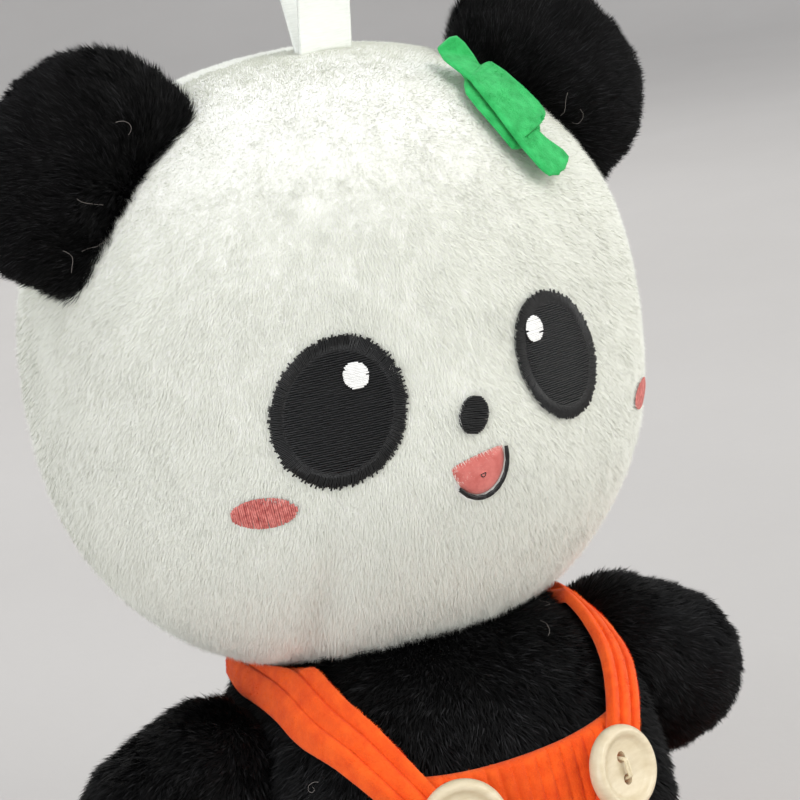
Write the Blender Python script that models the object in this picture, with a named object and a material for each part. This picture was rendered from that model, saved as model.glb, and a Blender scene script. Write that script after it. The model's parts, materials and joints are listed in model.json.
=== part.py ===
"""A seated plush panda in ribbed dungarees, as an assembly of sewn and stuffed pieces.

Metres, +Z up. The panda sits on z = 0 and looks along -Y, so its own right side is at -X.
"""

import math
from collections import namedtuple

import bmesh
import bpy
from mathutils import Matrix, Vector

# --- driving dimensions ---------------------------------------------------------------------
BODY_Y = 0.0105  # the body's upright axis, set so that the whole part is centred on Y = 0
GAP = 0.0003  # kept between touching pieces
SKIN = 0.0015  # plush backing with its pile pressed flat

Form = namedtuple("Form", "centre half power")  # power 2 is an ellipsoid, more is boxier
HEAD = Form((0.0, BODY_Y + 0.014, 0.141), (0.0585, 0.0525, 0.0565), 2.2)
TORSO = Form((0.0, BODY_Y, 0.044), (0.040, 0.041, 0.052), 2.8)

NECK_PIVOT_Z = 0.112
NECK_SOCKET_GAP = 0.0042
NECK_RING_RADIUS = 0.0165
NECK_RING_Z = 0.0837
NECK_RING_HALF = 0.0007

EAR_ANGLE = math.radians(46)  # from straight up to the middle of the ear, in the front view
EAR_BASE = 0.042
EAR_REACH = 0.0225
EAR_FRONT = 0.013  # ahead of the head's side seam
EAR_LEAN = 0.2  # how far the ear slopes back for each unit of its height
EAR_THICK = 0.0120
EAR_LIFT = 0.0009  # clearance under the ear's seam
EAR_EDGE = 0.0007
EAR_PINCH = 0.28  # share of the full thickness that is left at the seam
EAR_POWER = 2.4  # superellipse exponent of the ear's outline

SHOULDER = (0.0425, BODY_Y + 0.002, 0.0715)
ARM_DIRECTION = (0.82, 0.08, -0.50)
ARM_LENGTH = 0.0105
ARM_RADII = (0.0150, 0.0160)
ARM_RANGE = (-20, 0, 25)  # degrees, raised is positive

HIP = (0.0215, BODY_Y - 0.018, 0.0187)
LEG_DIRECTION = (0.24, -0.97, 0.0)
LEG_LENGTH = 0.052
LEG_RADII = (0.0165, 0.0183)
LEG_RANGE = (-15, 0, 18)  # degrees, raised is positive
LIMB_CLEARANCE = 0.0008
LIMB_OPENING = math.radians(150)  # where the skin stops at the sewn end, from the limb's tip
CUFF_SPAN = (0.44, 0.82)  # along the leg, as shares of its length

CLOTH = 0.0013  # ribbed cloth
PANTS_TOP = 0.0450
BIB_BOTTOM = PANTS_TOP + 0.0006
BIB_TOP = 0.0760
BIB_SAG = 0.0015
BIB_HALF_WIDTHS = (0.0255, 0.0205)  # at the bottom and at the top corners
STRAP_WIDTH = 0.0078
STRAP_X = (0.0135, 0.0275, 0.0140)  # at the button, over the shoulder, at the back waist
STRAP_SPREAD = (0.04, 0.30)  # where it runs outward, as shares of its length
STRAP_RETURN = (0.50, 1.0)  # and where it runs back in
STRAP_START = math.radians(21)  # above straight ahead, about the torso's centre
STRAP_END = math.radians(174)
STRAP_OVERLAP = math.radians(52)  # up to here the strap lies on the bib
STRAP_SETTLE = math.radians(10)  # and over this it comes down to the body

STRAP_ON_BIB = CLOTH + 4 * GAP  # height of the strap's underside where it lies on the bib
STRAP_ON_BODY = 0.0016  # and where it lies on the pile

BUTTON_Z = 0.0688
BUTTON_RADIUS = 0.0075
BUTTON_THICK = 0.0032
BUTTON_HOLE_RADIUS = 0.0011
BUTTON_HOLE_SPACING = 0.0044
BUTTON_LIFT = 0.0024  # raises the flat back clear of the rounded strap
BUTTON_TILT = math.radians(11)  # each button is pulled to face outward
THREAD_RADIUS = 0.0005

EMBROIDERY = 0.0008
EYE_CENTRE = (0.0208, 0.1417)
EYE_HALF = (0.0101, 0.0126)
EYE_TILT = math.radians(20)
GLINT_CENTRE = (0.0172, 0.1475)
GLINT_HALF = (0.0021, 0.0020)
NOSE_Z = 0.1368
NOSE_HALF = (0.0028, 0.0029)
MOUTH_Z = 0.1309
MOUTH_HALF = (0.0044, 0.0066)
BLUSH_CENTRE = (0.0341, 0.1265)
BLUSH_HALF = (0.0048, 0.0028)

LEAF_SPAN = (math.radians(21), math.radians(49))  # down the head's left side from its top
LEAF_FRONT = (0.0225, 0.0365)  # ahead of the side seam, at its upper and lower ends
LEAF_HALF_WIDTH = 0.0072
LEAF_THICK = 0.0011

LOOP_SEAT = (0.0040, -0.0080)  # across and along from the head's centre
LOOP_HEIGHT = 0.046
LOOP_WIDTH = 0.0100
LOOP_DEPTHS = (0.0042, 0.0095)  # half depth of the loop near its foot and at its widest
LOOP_THICK = 0.0008
LOOP_LIFT = 0.0012

ROUND = 28  # points round a large form
RINGS = 7  # rings from a large form's pole to its seam
SMALL_ROUND = 14  # points round a limb
SIDES = {"r": -1, "l": 1}

COLOURS = {
    "white_plush": (0.86, 0.87, 0.83),
    "black_plush": (0.012, 0.012, 0.014),
    "filling": (0.83, 0.83, 0.80),
    "orange_rib": (1.00, 0.13, 0.025),
    "green_felt": (0.05, 0.60, 0.19),
    "black_stitching": (0.010, 0.010, 0.012),
    "white_stitching": (0.90, 0.90, 0.88),
    "pink_stitching": (0.78, 0.20, 0.17),
    "mouth_felt": (0.85, 0.22, 0.20),
    "ribbon": (0.88, 0.90, 0.84),
    "button_resin": (0.90, 0.80, 0.60),
    "thread": (0.78, 0.70, 0.50),
}
ROUGHNESS = {"button_resin": 0.32, "ribbon": 0.55, "black_stitching": 0.45}


# --- scene and mesh helpers -----------------------------------------------------------------
def clear_scene():
    for obj in list(bpy.data.objects):
        bpy.data.objects.remove(obj, do_unlink=True)


def material(name):
    found = bpy.data.materials.get(name)
    if found:
        return found
    made = bpy.data.materials.new(name)
    made.use_nodes = True
    shader = made.node_tree.nodes["Principled BSDF"]
    shader.inputs["Base Color"].default_value = (*COLOURS[name], 1.0)
    shader.inputs["Roughness"].default_value = ROUGHNESS.get(name, 0.9)
    shader.inputs["Metallic"].default_value = 0.0
    made.diffuse_color = (*COLOURS[name], 1.0)
    return made


def finish_mesh(name, bm, slot):
    """A smooth-shaded object from a bmesh, with its faces turned outward."""
    bmesh.ops.recalc_face_normals(bm, faces=bm.faces)
    mesh = bpy.data.meshes.new(name)
    bm.to_mesh(mesh)
    bm.free()
    if slot:
        mesh.materials.append(material(slot))
    mesh.shade_smooth()
    mesh.set_sharp_from_angle(angle=math.radians(50))
    obj = bpy.data.objects.new(name, mesh)
    bpy.context.scene.collection.objects.link(obj)
    return obj


def loft(name, rings, slot, closed=False):
    """Bridges rings of points into one closed solid. A ring of one point is a pole."""
    bm = bmesh.new()
    made = [[bm.verts.new(point) for point in ring] for ring in rings]
    pairs = list(zip(made, made[1:]))
    if closed:
        pairs.append((made[-1], made[0]))
    for first, second in pairs:
        bridge(bm, first, second)
    if not closed:
        for ring in (made[0], made[-1]):
            close_end(bm, ring)
    return finish_mesh(name, bm, slot)


def close_end(bm, ring):
    """Fills a ring that runs out along one side of a band and back along the other."""
    last = len(ring) - 1
    for k in range(len(ring) // 2 - 1):
        near, far = ring[k : k + 2], [ring[last - k - 1], ring[last - k]]
        bm.faces.new((near[0], near[1], far[0]))
        bm.faces.new((near[0], far[0], far[1]))


def mean_depth(ring):
    return sum(vert.co.y for vert in ring) / len(ring)


def bridge(bm, first, second):
    """Joins two rings. Quads are split the same way in each layer, so nested layers stay apart."""
    if mean_depth(first) > mean_depth(second):
        first, second = second, first
    count = max(len(first), len(second))
    for i in range(count):
        j = (i + 1) % count
        corners = [first[i % len(first)], first[j % len(first)]]
        corners += [second[j % len(second)], second[i % len(second)]]
        for triangle in (corners[:3], [corners[0], corners[2], corners[3]]):
            if len(set(triangle)) == 3:
                bm.faces.new(triangle)


def cut(obj, cutter):
    modifier = obj.modifiers.new("cut " + cutter.name, "BOOLEAN")
    modifier.operation = "DIFFERENCE"
    modifier.solver = "EXACT"
    modifier.object = cutter


def as_cutter(obj):
    obj.hide_render = True
    obj.display_type = "WIRE"
    return obj


def mirrored(point, side):
    return Vector((point[0] * side, point[1], point[2]))


# --- pivots: every moving piece hangs from an empty on its joint -----------------------------
PIVOTS = {}


def pivot(name, position, parent=None):
    empty = bpy.data.objects.new(name, None)
    empty.empty_display_size = 0.01
    bpy.context.scene.collection.objects.link(empty)
    PIVOTS[name] = Vector(position)
    empty.parent = parent
    empty.location = PIVOTS[name] - (PIVOTS[parent.name] if parent else Vector())
    return empty


def hang(obj, empty):
    obj.data.transform(Matrix.Translation(-PIVOTS[empty.name]))
    obj.parent = empty
    return obj


# --- the stuffed forms -----------------------------------------------------------------------
def grown(values, by):
    return tuple(value + by for value in values)


def grown_form(form, by):
    return form._replace(half=grown(form.half, by))


def reach(form, offset, direction):
    """How far along direction the form's surface lies from an offset point beside its centre."""
    left = 1.0 - sum(abs(o / h) ** form.power for o, h in zip(offset, form.half))
    along = sum(abs(d / h) ** form.power for d, h in zip(direction, form.half))
    return (max(left, 1e-6) / along) ** (1.0 / form.power)


def form_normal(form, local):
    slopes = [
        math.copysign(abs(v / h) ** (form.power - 1.0) / h, v) for v, h in zip(local, form.half)
    ]
    return Vector(slopes).normalized()


def front_point(form, x, z, lift=0.0):
    """A point on the front of a form at world x and z, lifted off along the surface normal."""
    local = Vector((x - form.centre[0], 0.0, z - form.centre[2]))
    local.y = -reach(form, local, (0.0, -1.0, 0.0))
    return Vector(form.centre) + local + form_normal(form, local) * lift


def rounded(value, shape):
    return math.copysign(abs(value) ** shape, value)


def form_rings(form, count, half_side=None, floor=None):
    """Rings round the Y axis, from the front pole to the back one, or from one pole to the seam.

    half_side is -1 for the front half only and +1 for the back half. floor flattens the bottom.
    """
    shape = 2.0 / form.power
    rings = []
    for i in range(count + 1):
        share = i / count
        latitude = math.pi / 2 * (1.0 - share) if half_side else math.pi * (share - 0.5)
        across = max(math.cos(latitude), 0.0) ** shape
        along = rounded(math.sin(latitude), shape) * form.half[1]
        if half_side:
            along = half_side * max(along, GAP / 2)
        points = 1 if across < 1e-6 else ROUND
        ring = []
        for j in range(points):
            turn = 2 * math.pi * (j + 0.5) / ROUND
            x = rounded(math.cos(turn), shape) * across * form.half[0]
            z = rounded(math.sin(turn), shape) * across * form.half[2]
            point = Vector(form.centre) + Vector((x, along, z))
            if floor is not None:
                point.z = max(point.z, floor)
            ring.append(point)
        rings.append(ring)
    return rings


def half_shell(name, form, thickness, half_side, slot, floor=None, rings=RINGS):
    inner_floor = None if floor is None else floor + thickness
    outer = form_rings(form, rings, half_side, floor)
    inner = form_rings(grown_form(form, -thickness), rings, half_side, inner_floor)
    return loft(name, outer + inner[::-1], slot)


def solid_form(name, form, slot, floor=None, rings=2 * RINGS):
    return loft(name, form_rings(form, rings, floor=floor), slot)


# --- limbs -----------------------------------------------------------------------------------
def limb_profile(length, radii, start, steps=4):
    """(along, radius) from the tip back over the sewn end, as far as the start angle."""
    points = []
    for i in range(steps + 1):
        angle = math.pi / 2 * i / steps
        points.append((length + radii[1] * math.cos(angle), radii[1] * math.sin(angle)))
    for i in range(steps + 1):
        angle = math.pi / 2 + (start - math.pi / 2) * i / steps
        points.append((radii[0] * math.cos(angle), radii[0] * math.sin(angle)))
    return points


def turned(profile, root, direction, count=SMALL_ROUND):
    axis = Vector(direction).normalized()
    side = axis.cross(Vector((0, 0, 1))).normalized()
    up = side.cross(axis)
    rings = []
    for along, radius in profile:
        centre = Vector(root) + axis * along
        points = 1 if radius < 1e-6 else count
        turns = [2 * math.pi * j / count for j in range(points)]
        rings.append([centre + (side * math.cos(t) + up * math.sin(t)) * radius for t in turns])
    return rings


def limb_cover(name, root, direction, length, radii, slot):
    outer = limb_profile(length, radii, LIMB_OPENING)
    inner = limb_profile(length, grown(radii, -SKIN), LIMB_OPENING)
    return loft(name, turned(outer + inner[::-1], root, direction), slot)


def limb_stuffing(name, root, direction, length, radii):
    profile = limb_profile(length, grown(radii, -SKIN - GAP), math.pi)
    return loft(name, turned(profile, root, direction), "filling")


def swing_cutter(name, root, direction, length, radii, axis, angles):
    """The convex space that a limb needs, over the angles that it swings through."""
    bm = bmesh.new()
    profile = limb_profile(length, grown(radii, LIMB_CLEARANCE), math.pi)
    for degrees in angles:
        swing = Matrix.Rotation(math.radians(degrees), 3, Vector(axis))
        for ring in turned(profile, root, swing @ Vector(direction)):
            for point in ring:
                bm.verts.new(point)
    hull = bmesh.ops.convex_hull(bm, input=bm.verts)
    spare = {v for v in hull["geom_interior"] + hull["geom_unused"] if isinstance(v, bmesh.types.BMVert)}
    bmesh.ops.delete(bm, geom=list(spare), context="VERTS")
    return as_cutter(finish_mesh(name, bm, None))


def arm_axis(side):
    return (0.0, -float(side), 0.0)


LEG_AXIS = (-1.0, 0.0, 0.0)


# --- head ------------------------------------------------------------------------------------
def build_head(head_pivot):
    for name, half_side in (("head_front_panel", -1), ("head_back_panel", 1)):
        panel = half_shell(name, HEAD, SKIN, half_side, "white_plush")
        hang(panel, head_pivot)
    hang(solid_form("head_stuffing", grown_form(HEAD, -SKIN - GAP), "filling"), head_pivot)


def ear_side_point(side, along, height, depth):
    """A point by arc length along the ear's seam, height above it and depth along Y."""
    angle = EAR_ANGLE + along / HEAD.half[0]
    direction = (math.sin(angle), 0.0, math.cos(angle))
    depth += EAR_LEAN * height - EAR_FRONT
    out = reach(HEAD, (0.0, depth, 0.0), direction) + EAR_LIFT + height
    point = Vector(HEAD.centre) + Vector(direction) * out
    point.y += depth
    return mirrored(point, side)


def ear_half_depth(share_along, share_up):
    """Half thickness of the ear at a place given as shares of its half width and reach."""
    pinch = EAR_PINCH + (1.0 - EAR_PINCH) * min(share_up / 0.4, 1.0) ** 0.7
    bulge = math.sqrt(max(1.0 - share_along**2, 0.0)) * math.sqrt(max(1.0 - share_up**2, 0.0))
    return GAP / 2 + EAR_EDGE + (EAR_THICK / 2 - EAR_EDGE) * bulge * pinch


def ear_half_width(share_up):
    return EAR_BASE / 2 * (1.0 - share_up**EAR_POWER) ** (1.0 / EAR_POWER)


def ear_panel(name, side, face):
    rings = []
    rows, columns = 6, 8
    for i in range(rows + 1):
        up = math.sin(math.pi / 2 * i / rows) * 0.985
        width = ear_half_width(up)
        spots = [math.cos(math.pi * j / columns) for j in range(columns + 1)]
        outer = [(s, ear_half_depth(s, up)) for s in spots]
        inner = [(s, max(GAP / 2, depth - SKIN)) for s, depth in outer]
        loop = outer + inner[::-1]
        rings.append([ear_side_point(side, s * width, up * EAR_REACH, face * d) for s, d in loop])
    return loft(name, rings, "black_plush")


def ear_stuffing(name, side):
    rings = []
    rows, columns = 4, 5
    for i in range(rows + 1):
        up = 0.22 + 0.52 * i / rows
        width = ear_half_width(up) * 0.66
        spots = [1.0 - 2.0 * j / columns for j in range(columns + 1)]
        front = [(s, -ear_core(s * 0.66, up)) for s in spots]
        back = [(s, ear_core(s * 0.66, up)) for s in spots]
        loop = front + back[::-1]
        rings.append([ear_side_point(side, s * width, up * EAR_REACH, d) for s, d in loop])
    return loft(name, rings, "filling")


def ear_core(share_along, share_up):
    return ear_half_depth(share_along, share_up) - SKIN - 3 * GAP


def build_ears(head_pivot):
    for tag, side in SIDES.items():
        ear_pivot = pivot("ear_pivot_" + tag, ear_side_point(side, 0.0, -EAR_LIFT, 0.0), head_pivot)
        hang(ear_panel("ear_front_" + tag, side, -1), ear_pivot)
        hang(ear_panel("ear_back_" + tag, side, 1), ear_pivot)
        hang(ear_stuffing("ear_stuffing_" + tag, side), ear_pivot)


# --- embroidery on the face ------------------------------------------------------------------
def face_patch(name, outline, slot, layer=0, rings=3, count=20):
    """A thin pad on the face. outline gives world x and z from a turn angle and a share of the way out."""
    low = GAP + layer * (EMBROIDERY + GAP)
    high = low + EMBROIDERY
    top, bottom = [], []
    for i in range(rings + 1):
        share = i / rings
        turns = [2 * math.pi * j / count for j in range(count if i else 1)]
        places = [outline(turn, share) for turn in turns]
        top.append([front_point(HEAD, x, z, high) for x, z in places])
        bottom.append([front_point(HEAD, x, z, low) for x, z in places])
    return loft(name, top + bottom[::-1], slot)


def oval(centre, half, tilt=0.0, side=1):
    """An oval outline. A positive tilt leans its top toward the middle of the face."""

    def outline(turn, share):
        u = half[0] * math.cos(turn) * share
        v = half[1] * math.sin(turn) * share
        x = centre[0] + u * math.cos(tilt) - v * math.sin(tilt)
        return side * x, centre[1] + u * math.sin(tilt) + v * math.cos(tilt)

    return outline


def smile(scale):
    """A half moon: straight across the top and round below."""

    def outline(turn, share):
        x = MOUTH_HALF[0] * scale * math.cos(turn) * share
        drop = MOUTH_HALF[1] * scale * math.sin(turn) * share
        return x, MOUTH_Z + (drop if drop < 0 else drop * 0.12)

    return outline


def lip(name):
    """The stitched line along the half moon's lower edge."""
    rings = []
    steps = 14
    inner_scale, outer_scale = 1.06, 1.28
    for i in range(steps + 1):
        turn = math.pi + math.pi * i / steps
        near = smile(inner_scale)(turn, 1.0)
        far = smile(outer_scale)(turn, 1.0)
        loop = [(near, GAP), (far, GAP), (far, GAP + EMBROIDERY), (near, GAP + EMBROIDERY)]
        rings.append([front_point(HEAD, x, z, lift) for (x, z), lift in loop])
    return loft(name, rings, "black_stitching")


def build_face(head_pivot):
    pieces = []
    for tag, side in SIDES.items():
        eye = oval(EYE_CENTRE, EYE_HALF, EYE_TILT, side)
        pieces.append(face_patch("eye_patch_" + tag, eye, "black_stitching", count=24))
        glint = oval(GLINT_CENTRE, GLINT_HALF, 0.0, side)
        pieces.append(face_patch("eye_glint_" + tag, glint, "white_stitching", 1, 2, 12))
        blush = oval(BLUSH_CENTRE, BLUSH_HALF, 0.0, side)
        pieces.append(face_patch("blush_" + tag, blush, "pink_stitching", rings=2, count=16))
    pieces.append(face_patch("nose", oval((0.0, NOSE_Z), NOSE_HALF), "black_stitching", rings=2, count=16))
    pieces.append(face_patch("mouth_fill", smile(1.0), "mouth_felt", rings=2, count=16))
    pieces.append(lip("mouth_outline"))
    for piece in pieces:
        hang(piece, head_pivot)


# --- leaf and hang loop ----------------------------------------------------------------------
def leaf_point(angle, depth, lift):
    direction = (math.sin(angle), 0.0, math.cos(angle))
    local = Vector(direction) * reach(HEAD, (0.0, depth, 0.0), direction)
    local.y += depth
    return Vector(HEAD.centre) + local + form_normal(HEAD, local) * lift


def leaf_layer(name, layer, span, half_width, lobes):
    """A scalloped strip of felt along the head, in front of the left ear."""
    rings = []
    steps = 18
    low = EAR_LIFT + layer * (LEAF_THICK + GAP)
    for i in range(steps + 1):
        share = i / steps
        angle = span[0] + (span[1] - span[0]) * share
        scallop = 0.62 + 0.38 * abs(math.sin(math.pi * lobes * share))
        taper = math.sqrt(max(1.0 - (2.0 * share - 1.0) ** 6, 0.0))
        width = half_width * max(scallop * taper, 0.25)
        down = (angle - LEAF_SPAN[0]) / (LEAF_SPAN[1] - LEAF_SPAN[0])
        middle = -LEAF_FRONT[0] + (LEAF_FRONT[0] - LEAF_FRONT[1]) * down
        spots = [middle + across * width for across in (-1.0, -0.5, 0.0, 0.5, 1.0)]
        ring = [leaf_point(angle, depth, low) for depth in spots]
        ring += [leaf_point(angle, depth, low + LEAF_THICK) for depth in reversed(spots)]
        rings.append(ring)
    return loft(name, rings, "green_felt")


def build_leaf(head_pivot):
    hang(leaf_layer("leaf_under", 0, LEAF_SPAN, LEAF_HALF_WIDTH, 2), head_pivot)
    inset = math.radians(4)
    short = (LEAF_SPAN[0] + inset, LEAF_SPAN[1] - inset)
    hang(leaf_layer("leaf_top", 1, short, LEAF_HALF_WIDTH * 0.86, 3), head_pivot)


def loop_spot(turn):
    """Centre line of the ribbon loop, seen from the side: (depth, height) over one turn."""
    height = LOOP_HEIGHT / 2 * (1.0 - math.cos(turn))
    share = min(height / (0.7 * LOOP_HEIGHT), 1.0)
    widen = share * share * (3.0 - 2.0 * share)
    half = LOOP_DEPTHS[0] + (LOOP_DEPTHS[1] - LOOP_DEPTHS[0]) * widen
    return half * math.sin(turn), height


def build_hang_loop(head_pivot):
    seat = (*LOOP_SEAT, 0.0)
    rise = reach(HEAD, seat, (0.0, 0.0, 1.0)) + LOOP_LIFT + LOOP_THICK / 2
    foot = Vector(HEAD.centre) + Vector((*LOOP_SEAT, rise))
    loop_pivot = pivot("loop_pivot", foot, head_pivot)
    steps = 40
    rings = []
    for i in range(steps):
        turn = 2 * math.pi * i / steps
        here = Vector(loop_spot(turn))
        along = Vector(loop_spot(turn + 0.01)) - Vector(loop_spot(turn - 0.01))
        out = Vector((along.y, -along.x)).normalized() * LOOP_THICK / 2
        ring = []
        for x, side in ((-1, -1), (1, -1), (1, 1), (-1, 1)):
            spot = here + out * side
            ring.append(foot + Vector((x * LOOP_WIDTH / 2, spot.x, spot.y)))
        rings.append(ring)
    hang(loft("hang_loop", rings, "ribbon", closed=True), loop_pivot)


# --- neck and body ---------------------------------------------------------------------------
def build_neck(neck_pivot):
    rings = []
    for i in range(ROUND):
        turn = 2 * math.pi * i / ROUND
        out = Vector((math.cos(turn), math.sin(turn), 0.0))
        centre = Vector((HEAD.centre[0], HEAD.centre[1], NECK_RING_Z)) + out * NECK_RING_RADIUS
        ring = []
        for j in range(6):
            around = 2 * math.pi * j / 6
            ring.append(centre + (out * math.cos(around) + Vector((0, 0, math.sin(around)))) * NECK_RING_HALF)
        rings.append(ring)
    hang(loft("neck_seam", rings, "thread", closed=True), neck_pivot)


def neck_socket():
    """The head's shape turned about its own upright axis, with room to nod."""
    widest = max(HEAD.half[0], HEAD.half[1])
    return Form(HEAD.centre, grown((widest, widest, HEAD.half[2]), NECK_SOCKET_GAP), HEAD.power)


def limb_cutters():
    cloth = GAP + CLOTH
    cutters = []
    for tag, side in SIDES.items():
        shoulder = mirrored(SHOULDER, side)
        heading = mirrored(ARM_DIRECTION, side)
        axis = arm_axis(side)
        cutters.append(swing_cutter("arm_socket_" + tag, shoulder, heading, ARM_LENGTH, ARM_RADII, axis, ARM_RANGE))
        radii = grown(LEG_RADII, cloth)
        heading = mirrored(LEG_DIRECTION, side)
        hip = mirrored(HIP, side)
        cutters.append(swing_cutter("leg_socket_" + tag, hip, heading, LEG_LENGTH, radii, LEG_AXIS, LEG_RANGE))
    return cutters


def build_body(cutters):
    floor = CLOTH + GAP
    made = [
        half_shell("body_front_panel", TORSO, SKIN, -1, "black_plush", floor),
        half_shell("body_back_panel", TORSO, SKIN, 1, "black_plush", floor),
    ]
    inner = grown_form(TORSO, -SKIN - GAP)
    made.append(solid_form("body_stuffing", inner, "filling", floor + SKIN + GAP))
    for obj in made:
        for cutter in cutters:
            cut(obj, cutter)


def build_limbs():
    for tag, side in SIDES.items():
        shoulder = mirrored(SHOULDER, side)
        heading = mirrored(ARM_DIRECTION, side)
        arm_pivot = pivot("arm_pivot_" + tag, shoulder)
        hang(limb_cover("arm_" + tag, shoulder, heading, ARM_LENGTH, ARM_RADII, "black_plush"), arm_pivot)
        hang(limb_stuffing("arm_stuffing_" + tag, shoulder, heading, ARM_LENGTH, ARM_RADII), arm_pivot)
        hip = mirrored(HIP, side)
        heading = mirrored(LEG_DIRECTION, side)
        leg_pivot = pivot("leg_pivot_" + tag, hip)
        hang(limb_cover("leg_" + tag, hip, heading, LEG_LENGTH, LEG_RADII, "black_plush"), leg_pivot)
        hang(limb_stuffing("leg_stuffing_" + tag, hip, heading, LEG_LENGTH, LEG_RADII), leg_pivot)
        hang(trouser_cuff("cuff_" + tag, hip, heading), leg_pivot)


def trouser_cuff(name, hip, heading):
    start, end = (share * LEG_LENGTH for share in CUFF_SPAN)
    inside = [(a, leg_radius(a) + GAP) for a in (start, end)]
    outside = [(a, leg_radius(a) + GAP + CLOTH) for a in (end, start)]
    return loft(name, turned(inside + outside, hip, heading, ROUND), "orange_rib", closed=True)


def leg_radius(along):
    return LEG_RADII[0] + (LEG_RADII[1] - LEG_RADII[0]) * along / LEG_LENGTH


# --- dungarees -------------------------------------------------------------------------------
def box_cutter(name, low, high):
    bm = bmesh.new()
    bmesh.ops.create_cube(bm, size=1.0)
    size = Vector(high) - Vector(low)
    bmesh.ops.scale(bm, vec=size, verts=bm.verts)
    bmesh.ops.translate(bm, vec=(Vector(low) + Vector(high)) / 2, verts=bm.verts)
    return as_cutter(finish_mesh(name, bm, None))


def build_pants(cutters):
    form = grown_form(TORSO, GAP + CLOTH)
    room = 0.1
    above = box_cutter("above_waist", (-room, -room, PANTS_TOP), (room, room, PANTS_TOP + room))
    for name, half_side in (("pants_front", -1), ("pants_back", 1)):
        panel = half_shell(name, form, CLOTH, half_side, "orange_rib", 0.0)
        for cutter in [above] + cutters:
            cut(panel, cutter)


def bib_height(share_across, share_up):
    top = BIB_TOP - BIB_SAG * (1.0 - share_across**2)
    return BIB_BOTTOM + (top - BIB_BOTTOM) * share_up


def build_bib():
    rings = []
    columns, rows = 10, 4
    for i in range(columns + 1):
        across = 2.0 * i / columns - 1.0
        ring = []
        for lift, order in ((GAP + CLOTH, range(rows + 1)), (GAP, range(rows, -1, -1))):
            for j in order:
                up = j / rows
                width = BIB_HALF_WIDTHS[0] + (BIB_HALF_WIDTHS[1] - BIB_HALF_WIDTHS[0]) * up
                place = (across * width, bib_height(across, up))
                ring.append(front_point(TORSO, *place, lift))
        rings.append(ring)
    loft("bib", rings, "orange_rib")


def eased(low, high, value):
    share = min(max((value - low) / (high - low), 0.0), 1.0)
    return share * share * (3.0 - 2.0 * share)


def strap_x(share):
    """Distance from the middle: out from the button to the shoulder, then in to the back waist."""
    front, top, back = STRAP_X
    outward = eased(*STRAP_SPREAD, share)
    inward = eased(*STRAP_RETURN, share)
    return front + (top - front) * outward + (back - top) * inward


def strap_lift(angle):
    """The strap lies on the bib at its buttoned end and on the body everywhere else."""
    fade = (angle - STRAP_OVERLAP) / STRAP_SETTLE
    share = min(max(1.0 - fade, 0.0), 1.0)
    return STRAP_ON_BODY + (STRAP_ON_BIB - STRAP_ON_BODY) * share


def shoulder_reach(x, direction):
    """How far the body's surface lies in the plane at x: the torso's, or the neck socket's below it."""
    out = reach(TORSO, (x, 0.0, 0.0), direction)
    socket = neck_socket()
    for _ in range(12):
        point = Vector(TORSO.centre) + Vector(direction) * out + Vector((x, 0.0, 0.0))
        local = point - Vector(socket.centre)
        floor = -reach(socket, (local.x, local.y, 0.0), (0.0, 0.0, 1.0))
        if direction[2] < 0.3 or local.z <= floor + 1e-6:
            break
        out -= (local.z - floor) * direction[2]
    return out


def build_straps():
    steps = 34
    for tag, side in SIDES.items():
        rings = []
        for i in range(steps + 1):
            share = i / steps
            angle = STRAP_START + (STRAP_END - STRAP_START) * share
            direction = (0.0, -math.cos(angle), math.sin(angle))
            lift = strap_lift(angle)
            middle = strap_x(share)
            ring = []
            for across, extra in ((-0.5, 0), (0, 0), (0.5, 0), (0.5, CLOTH), (0, CLOTH), (-0.5, CLOTH)):
                x = middle + across * STRAP_WIDTH
                out = shoulder_reach(x, direction) + lift + extra
                point = Vector(TORSO.centre) + Vector(direction) * out
                point.x = x
                ring.append(mirrored(point, side))
            rings.append(ring)
        loft("strap_" + tag, rings, "orange_rib")


# --- buttons ---------------------------------------------------------------------------------
def button_seat(side):
    """Where the button lies: a point above the strap's end and the direction that it faces."""
    lift = STRAP_ON_BIB + CLOTH
    point = front_point(TORSO, STRAP_X[0], BUTTON_Z, lift)
    normal = form_normal(TORSO, point - Vector(TORSO.centre))
    normal.rotate(Matrix.Rotation(BUTTON_TILT, 3, "Z"))
    return mirrored(point + normal * BUTTON_LIFT, side), mirrored(normal, side)


def button_profile():
    r, t = BUTTON_RADIUS, BUTTON_THICK
    return [
        (0.0, 0.0),
        (0.0, r * 0.82),
        (t * 0.35, r),
        (t * 0.72, r * 0.98),
        (t, r * 0.86),
        (t * 0.90, r * 0.74),
        (t * 0.66, r * 0.64),
        (t * 0.62, 0.0),
    ]


def build_buttons():
    for tag, side in SIDES.items():
        seat, normal = button_seat(side)
        button = loft("button_" + tag, turned(button_profile(), seat, normal, 24), "button_resin")
        across = normal.cross(Vector((0, 0, 1))).normalized()
        up = across.cross(normal)
        for place, sign in (("upper", 1), ("lower", -1)):
            at = seat + up * sign * BUTTON_HOLE_SPACING / 2
            bore = [(-0.001, 0.0), (-0.001, BUTTON_HOLE_RADIUS), (0.004, BUTTON_HOLE_RADIUS), (0.004, 0.0)]
            hole = as_cutter(loft(f"hole_{place}_{tag}", turned(bore, at, normal, 10), None))
            cut(button, hole)
        build_thread("button_thread_" + tag, seat, normal, up)


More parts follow.
